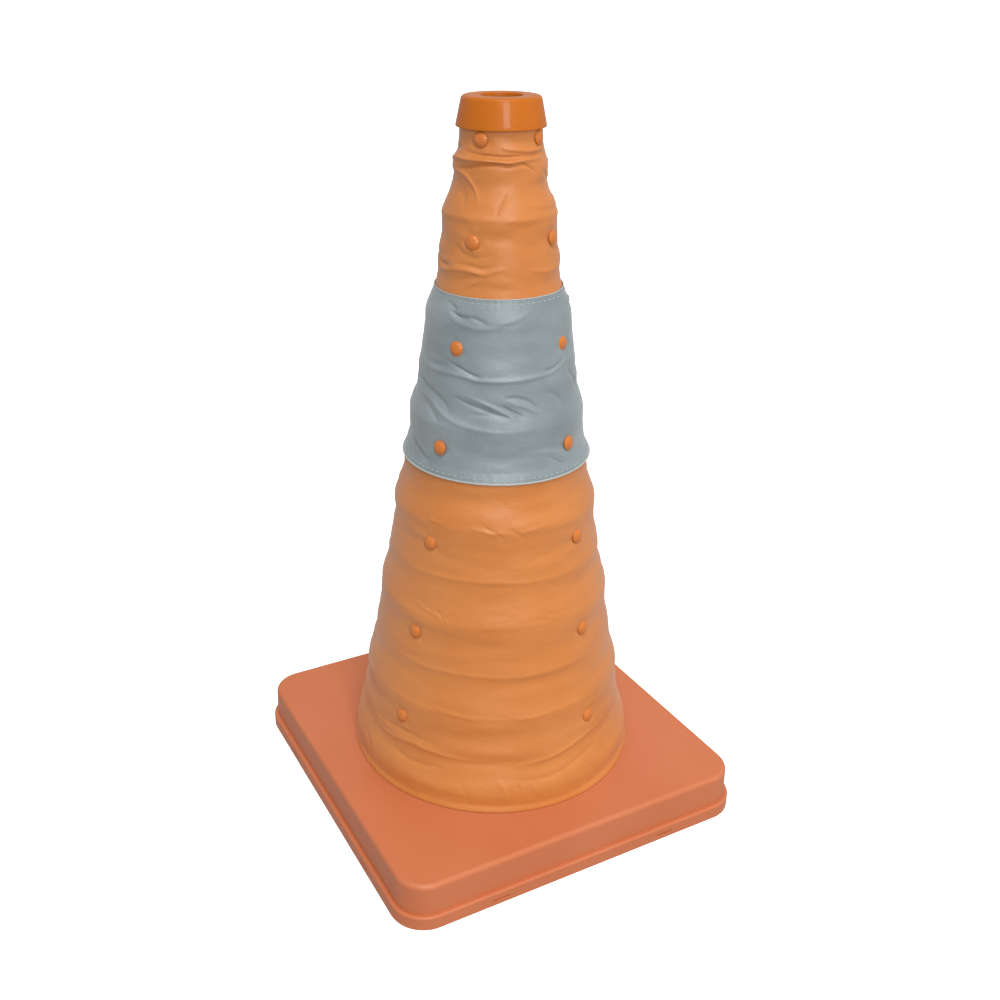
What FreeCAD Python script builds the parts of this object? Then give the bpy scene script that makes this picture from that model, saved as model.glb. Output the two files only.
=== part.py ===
"""A collapsible traffic cone: seven telescoping tiers in a riveted fabric sleeve on a square base.

Millimetres, +Z up. The origin is the middle of the base's underside, and the base's sides run along X and Y.
Tier 1 is the top one, under the cap, and tier 7 is the one that slides into the base.
"""

import FreeCAD, Part
import math
import os

import Sketcher

SIZES = [
    ("base_side", 246.0, "side of the square base, over the rim"),
    ("base_height", 30.0, "floor to the plateau's top"),
    ("rim_height", 9.0, "height of the rim round the base's foot"),
    ("rim_ledge", 2.6, "how far the rim stands out from the plateau"),
    ("rim_corner", 22.0, "radius of the rim's corners"),
    ("rim_round", 1.4, "rounding of the rim's upper edge"),
    ("plateau_draft", 1.0, "mould draft of the plateau's sides, degrees"),
    ("plateau_round", 3.0, "rounding of the plateau's upper edge"),
    ("cover_wall", 2.5, "wall of the base cover"),
    ("opening_step", 10.1, "how much wider the cover's round opening is than tier 7's collar"),
    ("opening_gap", 0.3, "between the sleeve and the opening, where the lowest tier slides"),
    ("opening_round", 0.8, "rounding of the opening's upper edge"),
    ("slot_length", 11.0, "length of a snap slot in the rim"),
    ("slot_height", 1.4, "height of a snap slot"),
    ("slot_level", 3.9, "floor to the middle of the snap slots"),
    ("slot_spread", 120.0, "between the two slots of one side"),
    ("snap_gap", 0.2, "clearance round a snap hook"),
    ("plate_wall", 2.2, "thickness of the base plate and its upturned edge"),
    ("plate_edge_height", 5.8, "floor to the top of the upturned edge"),
    ("plate_gap", 0.3, "between the upturned edge and the cover"),
    ("hook_recess", 0.6, "how far a hook stays inside the rim's face"),
    ("rib_wall", 2.0, "thickness of the plate's round rib"),
    ("ring_width", 8.0, "width of the retaining ring"),
    ("ring_height", 2.3, "thickness of the retaining ring"),
    ("tier_pitch", 59.0, "from one tier's top edge to the next, extended"),
    ("foot_rise", 64.3, "from the plateau to the lowest tier's top edge"),
    ("tier_wall", 1.8, "wall of a tier"),
    ("top_collar_radius", 22.2, "outer radius of tier 1's collar"),
    ("radius_step", 10.0, "how much wider each tier is than the one above"),
    ("collar_height", 22.0, "upright part of a tier, below its top edge"),
    ("top_collar_height", 26.0, "the same on tier 1"),
    ("flare_stop", 2.0, "from the flare's foot to the next tier's top edge"),
    ("tier_round", 1.5, "rounding of a tier's top edge"),
    ("lip_depth", 1.2, "how far a tier's stop lip stands inwards"),
    ("lip_height", 2.0, "height of the stop lip"),
    ("slide_gap", 0.35, "clearance between a tier and the lip it slides in"),
    ("lug_arc", 50.0, "width of a stop lug, degrees"),
    ("lug_height", 4.0, "height of a stop lug"),
    ("lug_gap", 0.3, "play between a stop lug and its lip, extended"),
    ("cap_height", 16.6, "height of the cap"),
    ("cap_drop", 14.9, "from tier 1's nominal top down to the cap's lower edge"),
    ("cap_lip", 2.1, "wall of the cap's lower edge, round its recess"),
    ("cap_crown", 2.2, "wall of the cap's side at its top"),
    ("cap_round", 1.5, "rounding of the cap's upper edge"),
    ("cap_plate", 2.0, "thickness of the cap's top"),
    ("cap_tuck", 3.0, "how far the cap reaches down over the sleeve"),
    ("cap_recess_gap", 0.1, "between the sleeve and the cap's recess"),
    ("cap_bore_radius", 12.0, "hole in the cap's top"),
    ("cap_bore_length", 8.0, "depth of the hole's wall"),
    ("cap_bore_wall", 1.6, "wall of the hole's tube"),
    ("spigot_step", 2.2, "how much narrower tier 1's spigot, which carries the cap, is than its collar"),
    ("spigot_gap", 0.1, "between the spigot and the cap"),
    ("spigot_top_gap", 0.3, "between the spigot's end and the cap's top plate"),
    ("rivet_level", 15.0, "from a tier's top edge down to its rivets"),
    ("top_rivet_level", 19.4, "the same on tier 1"),
    ("rivet_head_radius", 4.3, "rivet head"),
    ("rivet_head_height", 1.9, "height of a rivet head"),
    ("rivet_head_round", 1.3, "rounding of a rivet head"),
    ("rivet_shank_radius", 2.0, "rivet shank"),
    ("rivet_tail_radius", 3.2, "clinched end of a rivet"),
    ("rivet_tail_height", 1.0, "thickness of the clinched end"),
    ("rivet_gap", 0.1, "clearance round a rivet"),
    ("turn_1", 32.5, "where tier 1's first rivet stands, degrees from +X"),
    ("turn_2", 34.2, "the same on tier 2"),
    ("turn_3", 28.9, "the same on tier 3"),
    ("turn_4", 23.4, "the same on tier 4"),
    ("turn_5", 23.3, "the same on tier 5"),
    ("turn_6", 20.1, "the same on tier 6"),
    ("turn_7", 18.0, "the same on tier 7"),
    ("fabric", 0.6, "thickness of the sleeve"),
    ("fabric_gap", 0.6, "between a tier and the sleeve"),
    ("edge_clear", 3.8, "where the sleeve bends out, above a tier's top edge"),
    ("hem_reach", 7.0, "width of the sleeve's hem under the cover"),
    ("band_fabric", 0.5, "thickness of the reflective band"),
    ("band_gap", 0.15, "between the sleeve and the band"),
    ("band_top_rise", 13.7, "from tier 3's top edge up to the band's upper hem"),
    ("band_foot_rise", 27.2, "from tier 5's top edge up to the band's lower hem"),
]
TIERS = 7
RIVETS_PER_TIER = 4
SIDES = 4
LUGS_PER_TIER = 4
FIRST_BANDED, LAST_BANDED = 3, 4
BAND_NAMES = {3: "band_upper", 4: "band_middle", 5: "band_lower"}

doc = FreeCAD.newDocument("traffic_cone")


# ---- expressions on the sheet ----


def minus(text):
    """The negative of an expression."""
    return f"-({text})"


def plus(*terms):
    """The sum of some expressions."""
    return " + ".join(f"({term})" for term in terms)


def collar(number):
    """Outer radius of a tier's collar."""
    return f"Dim.top_collar_radius + {number - 1} * Dim.radius_step"


def collar_number(number):
    """The same radius as a number."""
    return size("top_collar_radius") + (number - 1) * size("radius_step")


def opening_size():
    """Radius of the cover's round opening."""
    return f"{collar(TIERS)} + Dim.opening_step"


def spigot_size():
    """Radius of tier 1's spigot."""
    return f"{collar(1)} - Dim.spigot_step"


def guide(number):
    """Outer radius of a tier's straight foot, which slides in the lip of the next tier or of the base."""
    if number == TIERS:
        return f"{opening_size()} - Dim.opening_gap - Dim.fabric - Dim.fabric_gap"
    return f"{collar(number + 1)} - Dim.tier_wall - Dim.lip_depth - Dim.slide_gap"


def tier_top(number):
    """Height of a tier's top edge above the floor."""
    return f"Dim.base_height + Dim.foot_rise + {TIERS - number} * Dim.tier_pitch"


def collar_foot(number):
    """Depth of the collar's foot below the tier's top edge."""
    return "Dim.top_collar_height" if number == 1 else "Dim.collar_height"


def drop(number):
    """From a tier's top edge to the edge that it slides through."""
    return "Dim.foot_rise" if number == TIERS else "Dim.tier_pitch"


def lip_below(number):
    """From the edge that a tier slides through to the underside of the lip that stops it."""
    if number == TIERS:
        return "Dim.cover_wall + Dim.fabric + Dim.ring_height"
    return "Dim.lip_height"


def lug_top(number):
    """Depth of the stop lugs' upper side below the tier's top edge."""
    return plus(drop(number), lip_below(number), "Dim.lug_gap")


def rivet_level(number):
    """Depth of a tier's rivets below its top edge."""
    return "Dim.top_rivet_level" if number == 1 else "Dim.rivet_level"


def azimuth(number):
    """Where a tier's first rivet stands, in degrees from +X."""
    return f"Dim.turn_{number}"


def over_tier(number):
    """Inner radius of the sleeve round a tier's collar."""
    return plus(collar(number), "Dim.fabric_gap")


# ---- building blocks ----


def new_body(name):
    """A body whose label is its node's name."""
    body = doc.addObject("PartDesign::Body", name)
    body.Label = name
    return body


def origin_plane(body, role):
    """One of the body's own origin planes or axes."""
    return next(item for item in body.Origin.OriginFeatures if item.Role == role)


def new_sketch(body, name, plane, lift="0", turn=0.0):
    """A sketch on an origin plane, lifted along the plane's normal, or turned about the sketch's own Y."""
    sketch = body.newObject("Sketcher::SketchObject", name)
    sketch.AttachmentSupport = [(origin_plane(body, plane), "")]
    sketch.MapMode = "FlatFace"
    sketch.AttachmentOffset = FreeCAD.Placement(
        FreeCAD.Vector(0, 0, 0), FreeCAD.Rotation(FreeCAD.Vector(0, 1, 0), turn)
    )
    sketch.setExpression(".AttachmentOffset.Base.z", lift)
    return sketch


def set_size(sketch, kind, value, *where):
    """A constraint of the sketch, bound to an expression."""
    index = sketch.addConstraint(Sketcher.Constraint(kind, *where, 1.0))
    sketch.setExpression(f"Constraints[{index}]", value)


def outline(sketch, corners):
    """A closed outline of straight edges; each corner is a pair of expressions, across and up."""
    first = sketch.GeometryCount
    count = len(corners)
    start = [
        FreeCAD.Vector(
            60 + 20 * math.cos(2 * math.pi * i / count),
            20 * math.sin(2 * math.pi * i / count),
            0,
        )
        for i in range(count)
    ]
    for i in range(count):
        sketch.addGeometry(Part.LineSegment(start[i], start[(i + 1) % count]))
    for i in range(count):
        sketch.addConstraint(
            Sketcher.Constraint("Coincident", first + i, 2, first + (i + 1) % count, 1)
        )
    for i, (across, up) in enumerate(corners):
        set_size(sketch, "DistanceX", across, -1, 1, first + i, 1)
        set_size(sketch, "DistanceY", up, -1, 1, first + i, 1)


def circle(sketch, radius, across="0", up="0"):
    """A circle in the sketch."""
    index = sketch.addGeometry(Part.Circle(FreeCAD.Vector(60, 5, 0), FreeCAD.Vector(0, 0, 1), 3.0))
    set_size(sketch, "Radius", radius, index)
    set_size(sketch, "DistanceX", across, -1, 1, index, 3)
    set_size(sketch, "DistanceY", up, -1, 1, index, 3)


def square(sketch, half):
    """A square about the sketch's origin."""
    low = minus(half)
    outline(sketch, [(low, low), (half, low), (half, half), (low, half)])


def box_outline(sketch, left, right, low, high):
    """A rectangle between four expressions."""
    outline(sketch, [(left, low), (right, low), (right, high), (left, high)])


def revolve(body, sketch, axis="V_Axis", angle="360", both_ways=False):
    """The sketch turned about one of its axes."""
    feature = body.newObject("PartDesign::Revolution", sketch.Name + "_turn")
    feature.Profile = sketch
    feature.ReferenceAxis = (sketch, [axis])
    feature.Midplane = both_ways
    feature.setExpression("Angle", angle)
    return feature


def pad(body, sketch, length, taper="0"):
    """The sketch pushed out along its normal."""
    feature = body.newObject("PartDesign::Pad", sketch.Name + "_pad")
    feature.Profile = sketch
    feature.setExpression("Length", length)
    feature.setExpression("TaperAngle", taper)
    return feature


def pocket(body, sketch, length, along_normal=True):
    """A cut of a stated length, along the sketch's normal or against it."""
    feature = body.newObject("PartDesign::Pocket", sketch.Name + "_cut")
    feature.Profile = sketch
    feature.Reversed = along_normal
    feature.setExpression("Length", length)
    return feature


def round_edges(body, base, name, radius, wanted):
    """A fillet on the edges of the last feature that the test picks out."""
    doc.recompute()
    names = [f"Edge{i}" for i, edge in enumerate(base.Shape.Edges, start=1) if wanted(edge)]
    feature = body.newObject("PartDesign::Fillet", name)
    feature.Base = (base, names)
    feature.setExpression("Radius", radius)
    return feature


def repeat(body, feature, count):
    """The feature repeated in equal steps round Z."""
    pattern = body.newObject("PartDesign::PolarPattern", feature.Name + "_round")
    pattern.Originals = [feature]
    pattern.Axis = (origin_plane(body, "Z_Axis"), [""])
    pattern.Angle = 360
    pattern.Occurrences = count
    body.Tip = pattern
    return pattern


def place(body, height, turn="0"):
    """Lifts the body to its height and turns it about Z."""
    body.Placement = FreeCAD.Placement(
        FreeCAD.Vector(0, 0, 0), FreeCAD.Rotation(FreeCAD.Vector(0, 0, 1), 1.0)
    )
    body.setExpression(".Placement.Base.z", height)
    body.setExpression(".Placement.Rotation.Angle", turn)


def size(alias):
    """A driving dimension as a number."""
    return float(doc.Dim.get(alias))


def drill_rivet_holes(body, number, level):
    """The four holes that a tier's rivets pass through, at a height in the body's own frame."""
    sketch = new_sketch(body, f"{body.Name}_hole", "YZ_Plane")
    circle(sketch, "Dim.rivet_shank_radius + Dim.rivet_gap", "0", level)
    reach = plus(collar(number), "2 * Dim.rivet_head_radius")
    repeat(body, pocket(body, sketch, reach), RIVETS_PER_TIER)


# ---- pieces ----


def make_sheet():
    """The driving dimensions, one to a row."""
    sheet = doc.addObject("Spreadsheet::Sheet", "Dim")
    for row, (alias, value, meaning) in enumerate(SIZES, start=1):
        sheet.set(f"A{row}", meaning)
        sheet.set(f"B{row}", str(value))
        sheet.setAlias(f"B{row}", alias)
    doc.recompute()


def make_base_cover():
    """The moulded cover: a plateau with a rim round its foot, open below, with a round opening."""
    body = new_body("base_cover")
    rim_half = "Dim.base_side / 2"
    plateau_half = "Dim.base_side / 2 - Dim.rim_ledge"
    rim_sketch = new_sketch(body, "rim_outline", "XY_Plane")
    square(rim_sketch, rim_half)
    pad(body, rim_sketch, "Dim.rim_height")
    plateau_sketch = new_sketch(body, "plateau_outline", "XY_Plane", "Dim.rim_height")
    square(plateau_sketch, plateau_half)
    plateau = pad(body, plateau_sketch, "Dim.base_height - Dim.rim_height", "-Dim.plateau_draft")
    rim_height, half = size("rim_height"), size("base_side") / 2

    def upright(edge, low):
        heights = sorted(vertex.Z for vertex in edge.Vertexes)
        return len(heights) == 2 and abs(heights[0] - low) < 0.01 and heights[1] - heights[0] > 1

    rim_corners = round_edges(
        body, plateau, "rim_corners", "Dim.rim_corner", lambda edge: upright(edge, 0)
    )
    plateau_corners = round_edges(
        body,
        rim_corners,
        "plateau_corners",
        "Dim.rim_corner - Dim.rim_ledge",
        lambda edge: upright(edge, rim_height) and edge.CenterOfMass.Length < 2 * half,
    )
    doc.recompute()
    under = [
        f"Face{i}"
        for i, face in enumerate(plateau_corners.Shape.Faces, start=1)
        if face.BoundBox.ZMax < 0.01
    ]
    shell = body.newObject("PartDesign::Thickness", "cover_shell")
    shell.Base = (plateau_corners, under)
    shell.Reversed = True
    shell.setExpression("Value", "Dim.cover_wall")

    def at_height(edge, height):
        return all(abs(vertex.Z - height) < 0.01 for vertex in edge.Vertexes)

    def outermost(edge):
        box = edge.BoundBox
        return max(abs(box.XMin), abs(box.XMax), abs(box.YMin), abs(box.YMax)) > half - 0.5

    plateau_edge = round_edges(
        body,
        shell,
        "plateau_edge",
        "Dim.plateau_round",
        lambda edge: at_height(edge, size("base_height")),
    )
    round_edges(
        body,
        plateau_edge,
        "rim_edge",
        "Dim.rim_round",
        lambda edge: at_height(edge, rim_height) and outermost(edge),
    )
    opening_sketch = new_sketch(body, "opening_outline", "XY_Plane", "Dim.base_height")
    circle(opening_sketch, opening_size())
    opening = pocket(body, opening_sketch, "2 * Dim.cover_wall", along_normal=False)
    opening_edge = round_edges(
        body,
        opening,
        "opening_edge",
        "Dim.opening_round",
        lambda edge: edge.Curve.TypeId == "Part::GeomCircle"
        and abs(edge.Curve.Radius - collar_number(TIERS) - size("opening_step")) < 0.01
        and at_height(edge, size("base_height")),
    )
    body.Tip = opening_edge
    slots = new_sketch(body, "slot_outline", "XZ_Plane")
    for side in (-1, 1):
        middle = f"{side} * Dim.slot_spread / 2"
        box_outline(
            slots,
            f"{middle} - Dim.slot_length / 2",
            f"{middle} + Dim.slot_length / 2",
            "Dim.slot_level - Dim.slot_height / 2",
            "Dim.slot_level + Dim.slot_height / 2",
        )
    repeat(body, pocket(body, slots, rim_half), SIDES)
    return body


def make_base_plate():
    """The plate that closes the base, with an upturned edge, snap hooks and a round rib."""
    body = new_body("base_plate")
    half = "Dim.base_side / 2 - Dim.cover_wall - Dim.plate_gap"
    corner = "Dim.rim_corner - Dim.cover_wall - Dim.plate_gap"
    tray_sketch = new_sketch(body, "tray_outline", "XY_Plane")
    square(tray_sketch, half)
    tray = pad(body, tray_sketch, "Dim.plate_edge_height")

    def upright(edge):
        box = edge.BoundBox
        return box.ZLength > 1 and box.XLength < 0.01 and box.YLength < 0.01

    corners = round_edges(body, tray, "tray_corners", corner, upright)
    doc.recompute()
    top = [
        f"Face{i}"
        for i, face in enumerate(corners.Shape.Faces, start=1)
        if face.BoundBox.ZMin > size("plate_edge_height") - 0.01
    ]
    well = body.newObject("PartDesign::Thickness", "tray_shell")
    well.Base = (corners, top)
    well.Reversed = True
    well.setExpression("Value", "Dim.plate_wall")
    rib_sketch = new_sketch(body, "rib_outline", "XY_Plane", "Dim.plate_wall")
    rib_outer = plus(guide(TIERS), "Dim.slide_gap", "Dim.ring_width")
    circle(rib_sketch, rib_outer)
    circle(rib_sketch, f"{rib_outer} - Dim.rib_wall")
    ring_foot = "Dim.base_height - Dim.cover_wall - Dim.fabric - Dim.ring_height"
    pad(body, rib_sketch, f"{ring_foot} - Dim.plate_wall")
    hook_sketch = new_sketch(body, "hook_outline", "XY_Plane", hook_level())
    for side in (-1, 1):
        middle = f"{side} * Dim.slot_spread / 2"
        box_outline(
            hook_sketch,
            f"{middle} - Dim.slot_length / 2 + Dim.snap_gap",
            f"{middle} + Dim.slot_length / 2 - Dim.snap_gap",
            "Dim.hook_recess - Dim.base_side / 2",
            f"Dim.plate_wall / 2 - ({half})",
        )
    hooks = pad(body, hook_sketch, "Dim.slot_height - 2 * Dim.snap_gap")
    repeat(body, hooks, SIDES)
    return body


def hook_level():
    """Height of a snap hook's underside."""
    return "Dim.slot_level - Dim.slot_height / 2 + Dim.snap_gap"


def make_retaining_ring():
    """The ring that clamps the sleeve's hem under the cover and stops tier 7."""
    body = new_body("sleeve_retaining_ring")
    inner = plus(guide(TIERS), "Dim.slide_gap")
    sketch = new_sketch(body, "ring_section", "XZ_Plane")
    box_outline(sketch, inner, plus(inner, "Dim.ring_width"), "0", "Dim.ring_height")
    revolve(body, sketch)
    place(body, "Dim.base_height - Dim.cover_wall - Dim.fabric - Dim.ring_height")
    return body


def tier_section(number):
    """Half section of a tier's wall, outside then inside, from its top edge."""
    radius, foot = collar(number), guide(number)
    inside = f"{radius} - Dim.tier_wall"
    collar_end = minus(collar_foot(number))
    flare_end = f"Dim.flare_stop - ({drop(number)})"
    end = minus(plus(lug_top(number), "Dim.lug_height"))
    below = [
        (radius, collar_end),
        (foot, flare_end),
        (foot, end),
        (f"{foot} - Dim.tier_wall", end),
        (f"{foot} - Dim.tier_wall", flare_end),
        (inside, collar_end),
    ]
    if number > 1:
        lip = f"{inside} - Dim.lip_depth"
        return [
            (radius, "0"),
            *below,
            (inside, "-Dim.lip_height"),
            (lip, "-Dim.lip_height"),
            (lip, "0"),
        ]
    shoulder = "Dim.cap_tuck - Dim.cap_drop"
    spigot_end = "Dim.cap_height - Dim.cap_plate - Dim.spigot_top_gap - Dim.cap_drop"
    return [
        (spigot_size(), spigot_end),
        (spigot_size(), shoulder),
        (radius, shoulder),
        *below,
        (inside, f"{shoulder} - Dim.tier_wall"),
        (f"{spigot_size()} - Dim.tier_wall", f"{shoulder} - Dim.tier_wall"),
        (f"{spigot_size()} - Dim.tier_wall", spigot_end),
    ]


def make_tier(number):
    """A telescoping ring: a collar with a stop lip, a flare, and a straight foot with stop lugs."""
    body = new_body(f"tier_{number}")
    wall = new_sketch(body, f"tier_{number}_section", "XZ_Plane")
    outline(wall, tier_section(number))
    shell = revolve(body, wall)
    if number > 1:
        outer = collar_number(number)
        round_edges(
            body,
            shell,
            f"tier_{number}_edge",
            "Dim.tier_round",
            lambda edge: edge.Curve.TypeId == "Part::GeomCircle"
            and abs(edge.Curve.Radius - outer) < 0.01
            and abs(edge.BoundBox.ZMin) < 0.01,
        )
    half_step = 360.0 / LUGS_PER_TIER / 2
    lug = new_sketch(body, f"tier_{number}_lug", "XZ_Plane", turn=half_step)
    foot = guide(number)
    box_outline(
        lug,
        f"{foot} - Dim.tier_wall / 2",
        f"{foot} + Dim.lip_depth",
        minus(plus(lug_top(number), "Dim.lug_height")),
        minus(lug_top(number)),
    )
    repeat(body, revolve(body, lug, angle="Dim.lug_arc", both_ways=True), LUGS_PER_TIER)
    drill_rivet_holes(body, number, minus(rivet_level(number)))
    place(body, tier_top(number), azimuth(number))
    return body


def make_rivets(number):
    """Four rivets that hold the sleeve to a tier, each with a rounded head and a clinched end."""
    body = new_body(f"rivets_{number}")
    body.AllowCompound = True
    banded = FIRST_BANDED <= number <= LAST_BANDED
    seat = plus(
        over_tier(number), "Dim.fabric", "Dim.band_gap + Dim.band_fabric" if banded else "0"
    )
    inside = f"({collar(number)} - Dim.tier_wall)"
    tail = f"sqrt({inside} * {inside} - Dim.rivet_tail_radius * Dim.rivet_tail_radius) - Dim.rivet_gap"
    tail_end = f"{tail} - Dim.rivet_tail_height"
    head_top = plus(seat, "Dim.rivet_head_height")
    sketch = new_sketch(body, f"rivets_{number}_section", "XZ_Plane")
    outline(
        sketch,
        [
            (tail_end, "0"),
            (tail_end, "Dim.rivet_tail_radius"),
            (tail, "Dim.rivet_tail_radius"),
            (tail, "Dim.rivet_shank_radius"),
            (seat, "Dim.rivet_shank_radius"),
            (seat, "Dim.rivet_head_radius"),
            (head_top, "Dim.rivet_head_radius"),
            (head_top, "0"),
        ],
    )
    rivet = revolve(body, sketch, "H_Axis")
    doc.recompute()
    far = max(vertex.X for vertex in rivet.Shape.Vertexes)
    head = round_edges(
        body,
        rivet,
        f"rivets_{number}_head",
        "Dim.rivet_head_round",
        lambda edge: edge.BoundBox.XMin > far - 0.01
        and abs(edge.BoundBox.YLength - 2 * size("rivet_head_radius")) < 0.1,
    )
    pattern = repeat(body, rivet, RIVETS_PER_TIER)
    pattern.Originals = [rivet, head]
    place(body, plus(tier_top(number), minus(rivet_level(number))), azimuth(number))
    return body


def fabric_shell(body, name, line, thickness):
    """A thin shell of revolution whose inner side follows a line of (radius, height) corners."""
    sketch = new_sketch(body, name, "XZ_Plane")
    outer = [(f"{radius} + {thickness}", height) for radius, height in reversed(line)]
    outline(sketch, [*line, *outer])
    revolve(body, sketch)


def step_line(number, clear):
    """From the flare of the tier above, out over a tier's top edge and down its collar.

    Heights count from the lower tier's top edge. Clear is the shell's distance from the tiers.
    """
    above = guide(number - 1)
    return [
        (plus(above, clear), "Dim.edge_clear"),
        (plus(collar(number), clear), clear),
        (plus(collar(number), clear), minus(collar_foot(number))),
    ]


def make_sleeve_step(number):
    """The sleeve from the collar foot of the tier above to a tier's own collar foot."""
    body = new_body(f"sleeve_{number - 1}_{number}")
    top = f"Dim.tier_pitch - ({collar_foot(number - 1)})"
    line = [(over_tier(number - 1), top), *step_line(number, "Dim.fabric_gap")]
    fabric_shell(body, f"{body.Name}_section", line, "Dim.fabric")
    drill_rivet_holes(body, number, minus(rivet_level(number)))
    place(body, tier_top(number), azimuth(number))
    return body


def make_sleeve_top():
    """The sleeve's top end, round tier 1's collar, with its edge tucked under the cap."""
    body = new_body("sleeve_top")
    line = [
        (over_tier(1), "Dim.cap_tuck - Dim.cap_drop - Dim.cap_recess_gap"),
        (over_tier(1), minus(collar_foot(1))),
    ]
    fabric_shell(body, "sleeve_top_section", line, "Dim.fabric")
    drill_rivet_holes(body, 1, minus(rivet_level(1)))
    place(body, tier_top(1), azimuth(1))
    return body


def make_sleeve_skirt():
    """The sleeve's lower end: down through the base's opening, with a hem clamped under the cover."""
    body = new_body("sleeve_skirt")
    inner = plus(guide(TIERS), "Dim.fabric_gap")
    outer = plus(inner, "Dim.fabric")
    hem_top = "Dim.base_height - Dim.cover_wall"
    hem_end = plus(outer, "Dim.hem_reach")
    top = f"{tier_top(TIERS)} - Dim.collar_height"
    sketch = new_sketch(body, "sleeve_skirt_section", "XZ_Plane")
    outline(
        sketch,
        [
            (over_tier(TIERS), top),
            (inner, "Dim.base_height + Dim.flare_stop"),
            (inner, f"{hem_top} - Dim.fabric"),
            (hem_end, f"{hem_top} - Dim.fabric"),
            (hem_end, hem_top),
            (outer, hem_top),
            (outer, "Dim.base_height + Dim.flare_stop"),
            (plus(over_tier(TIERS), "Dim.fabric"), top),
        ],
    )
    revolve(body, sketch)
    return body


def make_band(number):
    """A stretch of the reflective band, from its upper hem or the tier above down to a tier's collar."""
    body = new_body(BAND_NAMES[number])
    clear = "Dim.fabric_gap + Dim.fabric + Dim.band_gap"
    before = collar_foot(number - 1)
    top = f"Dim.tier_pitch - ({before})"
    start = plus(collar(number - 1), clear)
    widening = f"({guide(number - 1)} - ({collar(number - 1)}))"
    slope = f"{widening} / ({top} - Dim.edge_clear)"

    def on_flare(height):
        return f"{start} + {slope} * ({top} - ({height}))"

    if number == FIRST_BANDED:
        hem = "Dim.band_top_rise"
        line = [(on_flare(hem), hem), *step_line(number, clear)]
    elif number == LAST_BANDED:
        line = [(start, top), *step_line(number, clear)]
    else:
        hem = "Dim.band_foot_rise"
        line = [(start, top), (on_flare(hem), hem)]
    fabric_shell(body, f"{body.Name}_section", line, "Dim.band_fabric")
    if number <= LAST_BANDED:
        drill_rivet_holes(body, number, minus(rivet_level(number)))
    place(body, tier_top(number), azimuth(number))
    return body


def make_cap():
    """The moulded cap: a truncated cone with a tube in its top, pushed onto tier 1's spigot."""
    body = new_body("cap")
    sketch = new_sketch(body, "cap_section", "XZ_Plane")
    grip = plus(spigot_size(), "Dim.spigot_gap")
    recess = plus(over_tier(1), "Dim.fabric + Dim.cap_recess_gap")
    under = "Dim.cap_height - Dim.cap_plate"
    tube_end = "Dim.cap_height - Dim.cap_bore_length"
    recess_top = "Dim.cap_tuck + Dim.cap_recess_gap"
    outline(
        sketch,
        [
            (plus(recess, "Dim.cap_lip"), "0"),
            (plus(grip, "Dim.cap_crown"), "Dim.cap_height"),
            ("Dim.cap_bore_radius", "Dim.cap_height"),
            ("Dim.cap_bore_radius", tube_end),
            ("Dim.cap_bore_radius + Dim.cap_bore_wall", tube_end),
            ("Dim.cap_bore_radius + Dim.cap_bore_wall", under),
            (grip, under),
            (grip, recess_top),
            (recess, recess_top),
            (recess, "0"),
        ],
    )
    shell = revolve(body, sketch)
    crown = collar_number(1) - size("spigot_step") + size("spigot_gap") + size("cap_crown")
    round_edges(
        body,
        shell,
        "cap_edge",
        "Dim.cap_round",
        lambda edge: edge.Curve.TypeId == "Part::GeomCircle" and abs(edge.Curve.Radius - crown) < 0.01,
    )
    place(body, plus(tier_top(1), "-Dim.cap_drop"))
    return body


def check_and_write(pieces):
    """Stops on anything that failed to build, then writes each piece to its STEP file."""
    doc.recompute()
    for item in doc.Objects:
        if "Invalid" in item.State or "Error" in item.State:
            raise RuntimeError(f"{item.Name} did not build: {item.State}")
    os.makedirs("parts", exist_ok=True)
    for piece in pieces:
        shape = piece.Shape
        if shape.isNull() or not shape.isValid():
            raise RuntimeError(f"{piece.Label} has no valid shape")
        shape.exportStep(os.path.join("parts", piece.Label + ".step"))
        box = shape.BoundBox
        print(
            f"{piece.Label}: {len(shape.Solids)} solids, {shape.Volume / 1000:.2f} cm3, "
            f"z {box.ZMin:.2f} to {box.ZMax:.2f}, width {box.XLength:.2f}"
        )


make_sheet()
pieces = [make_base_cover(), make_base_plate(), make_retaining_ring()]
pieces += [make_tier(number) for number in range(1, TIERS + 1)]
pieces += [make_rivets(number) for number in range(1, TIERS + 1)]
pieces += [make_sleeve_top()]
pieces += [make_sleeve_step(number) for number in range(2, TIERS + 1)]
pieces += [make_sleeve_skirt()]
pieces += [make_band(number) for number in BAND_NAMES]
pieces += [make_cap()]
check_and_write(pieces)
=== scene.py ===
"""Visual model of a collapsible traffic cone: seven tiers in a riveted cloth sleeve on a square moulded base.

The cloth, its reflective band, the rivets, the cap and the seams are modelled here and stand for the plain
solids of the frame. The moulded base, its plate, the tiers and the retaining ring keep their own shapes and
get finishes. Sizes of the pieces are in millimetres and become metres where a mesh is made; finishes and the
studio are in metres.
"""

import logging
import math
import random
from dataclasses import dataclass, field
from enum import Enum
from functools import cached_property
from typing import Callable, Iterable, Sequence

import bmesh
import bpy
import numpy as np
from mathutils import Matrix, Vector


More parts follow.
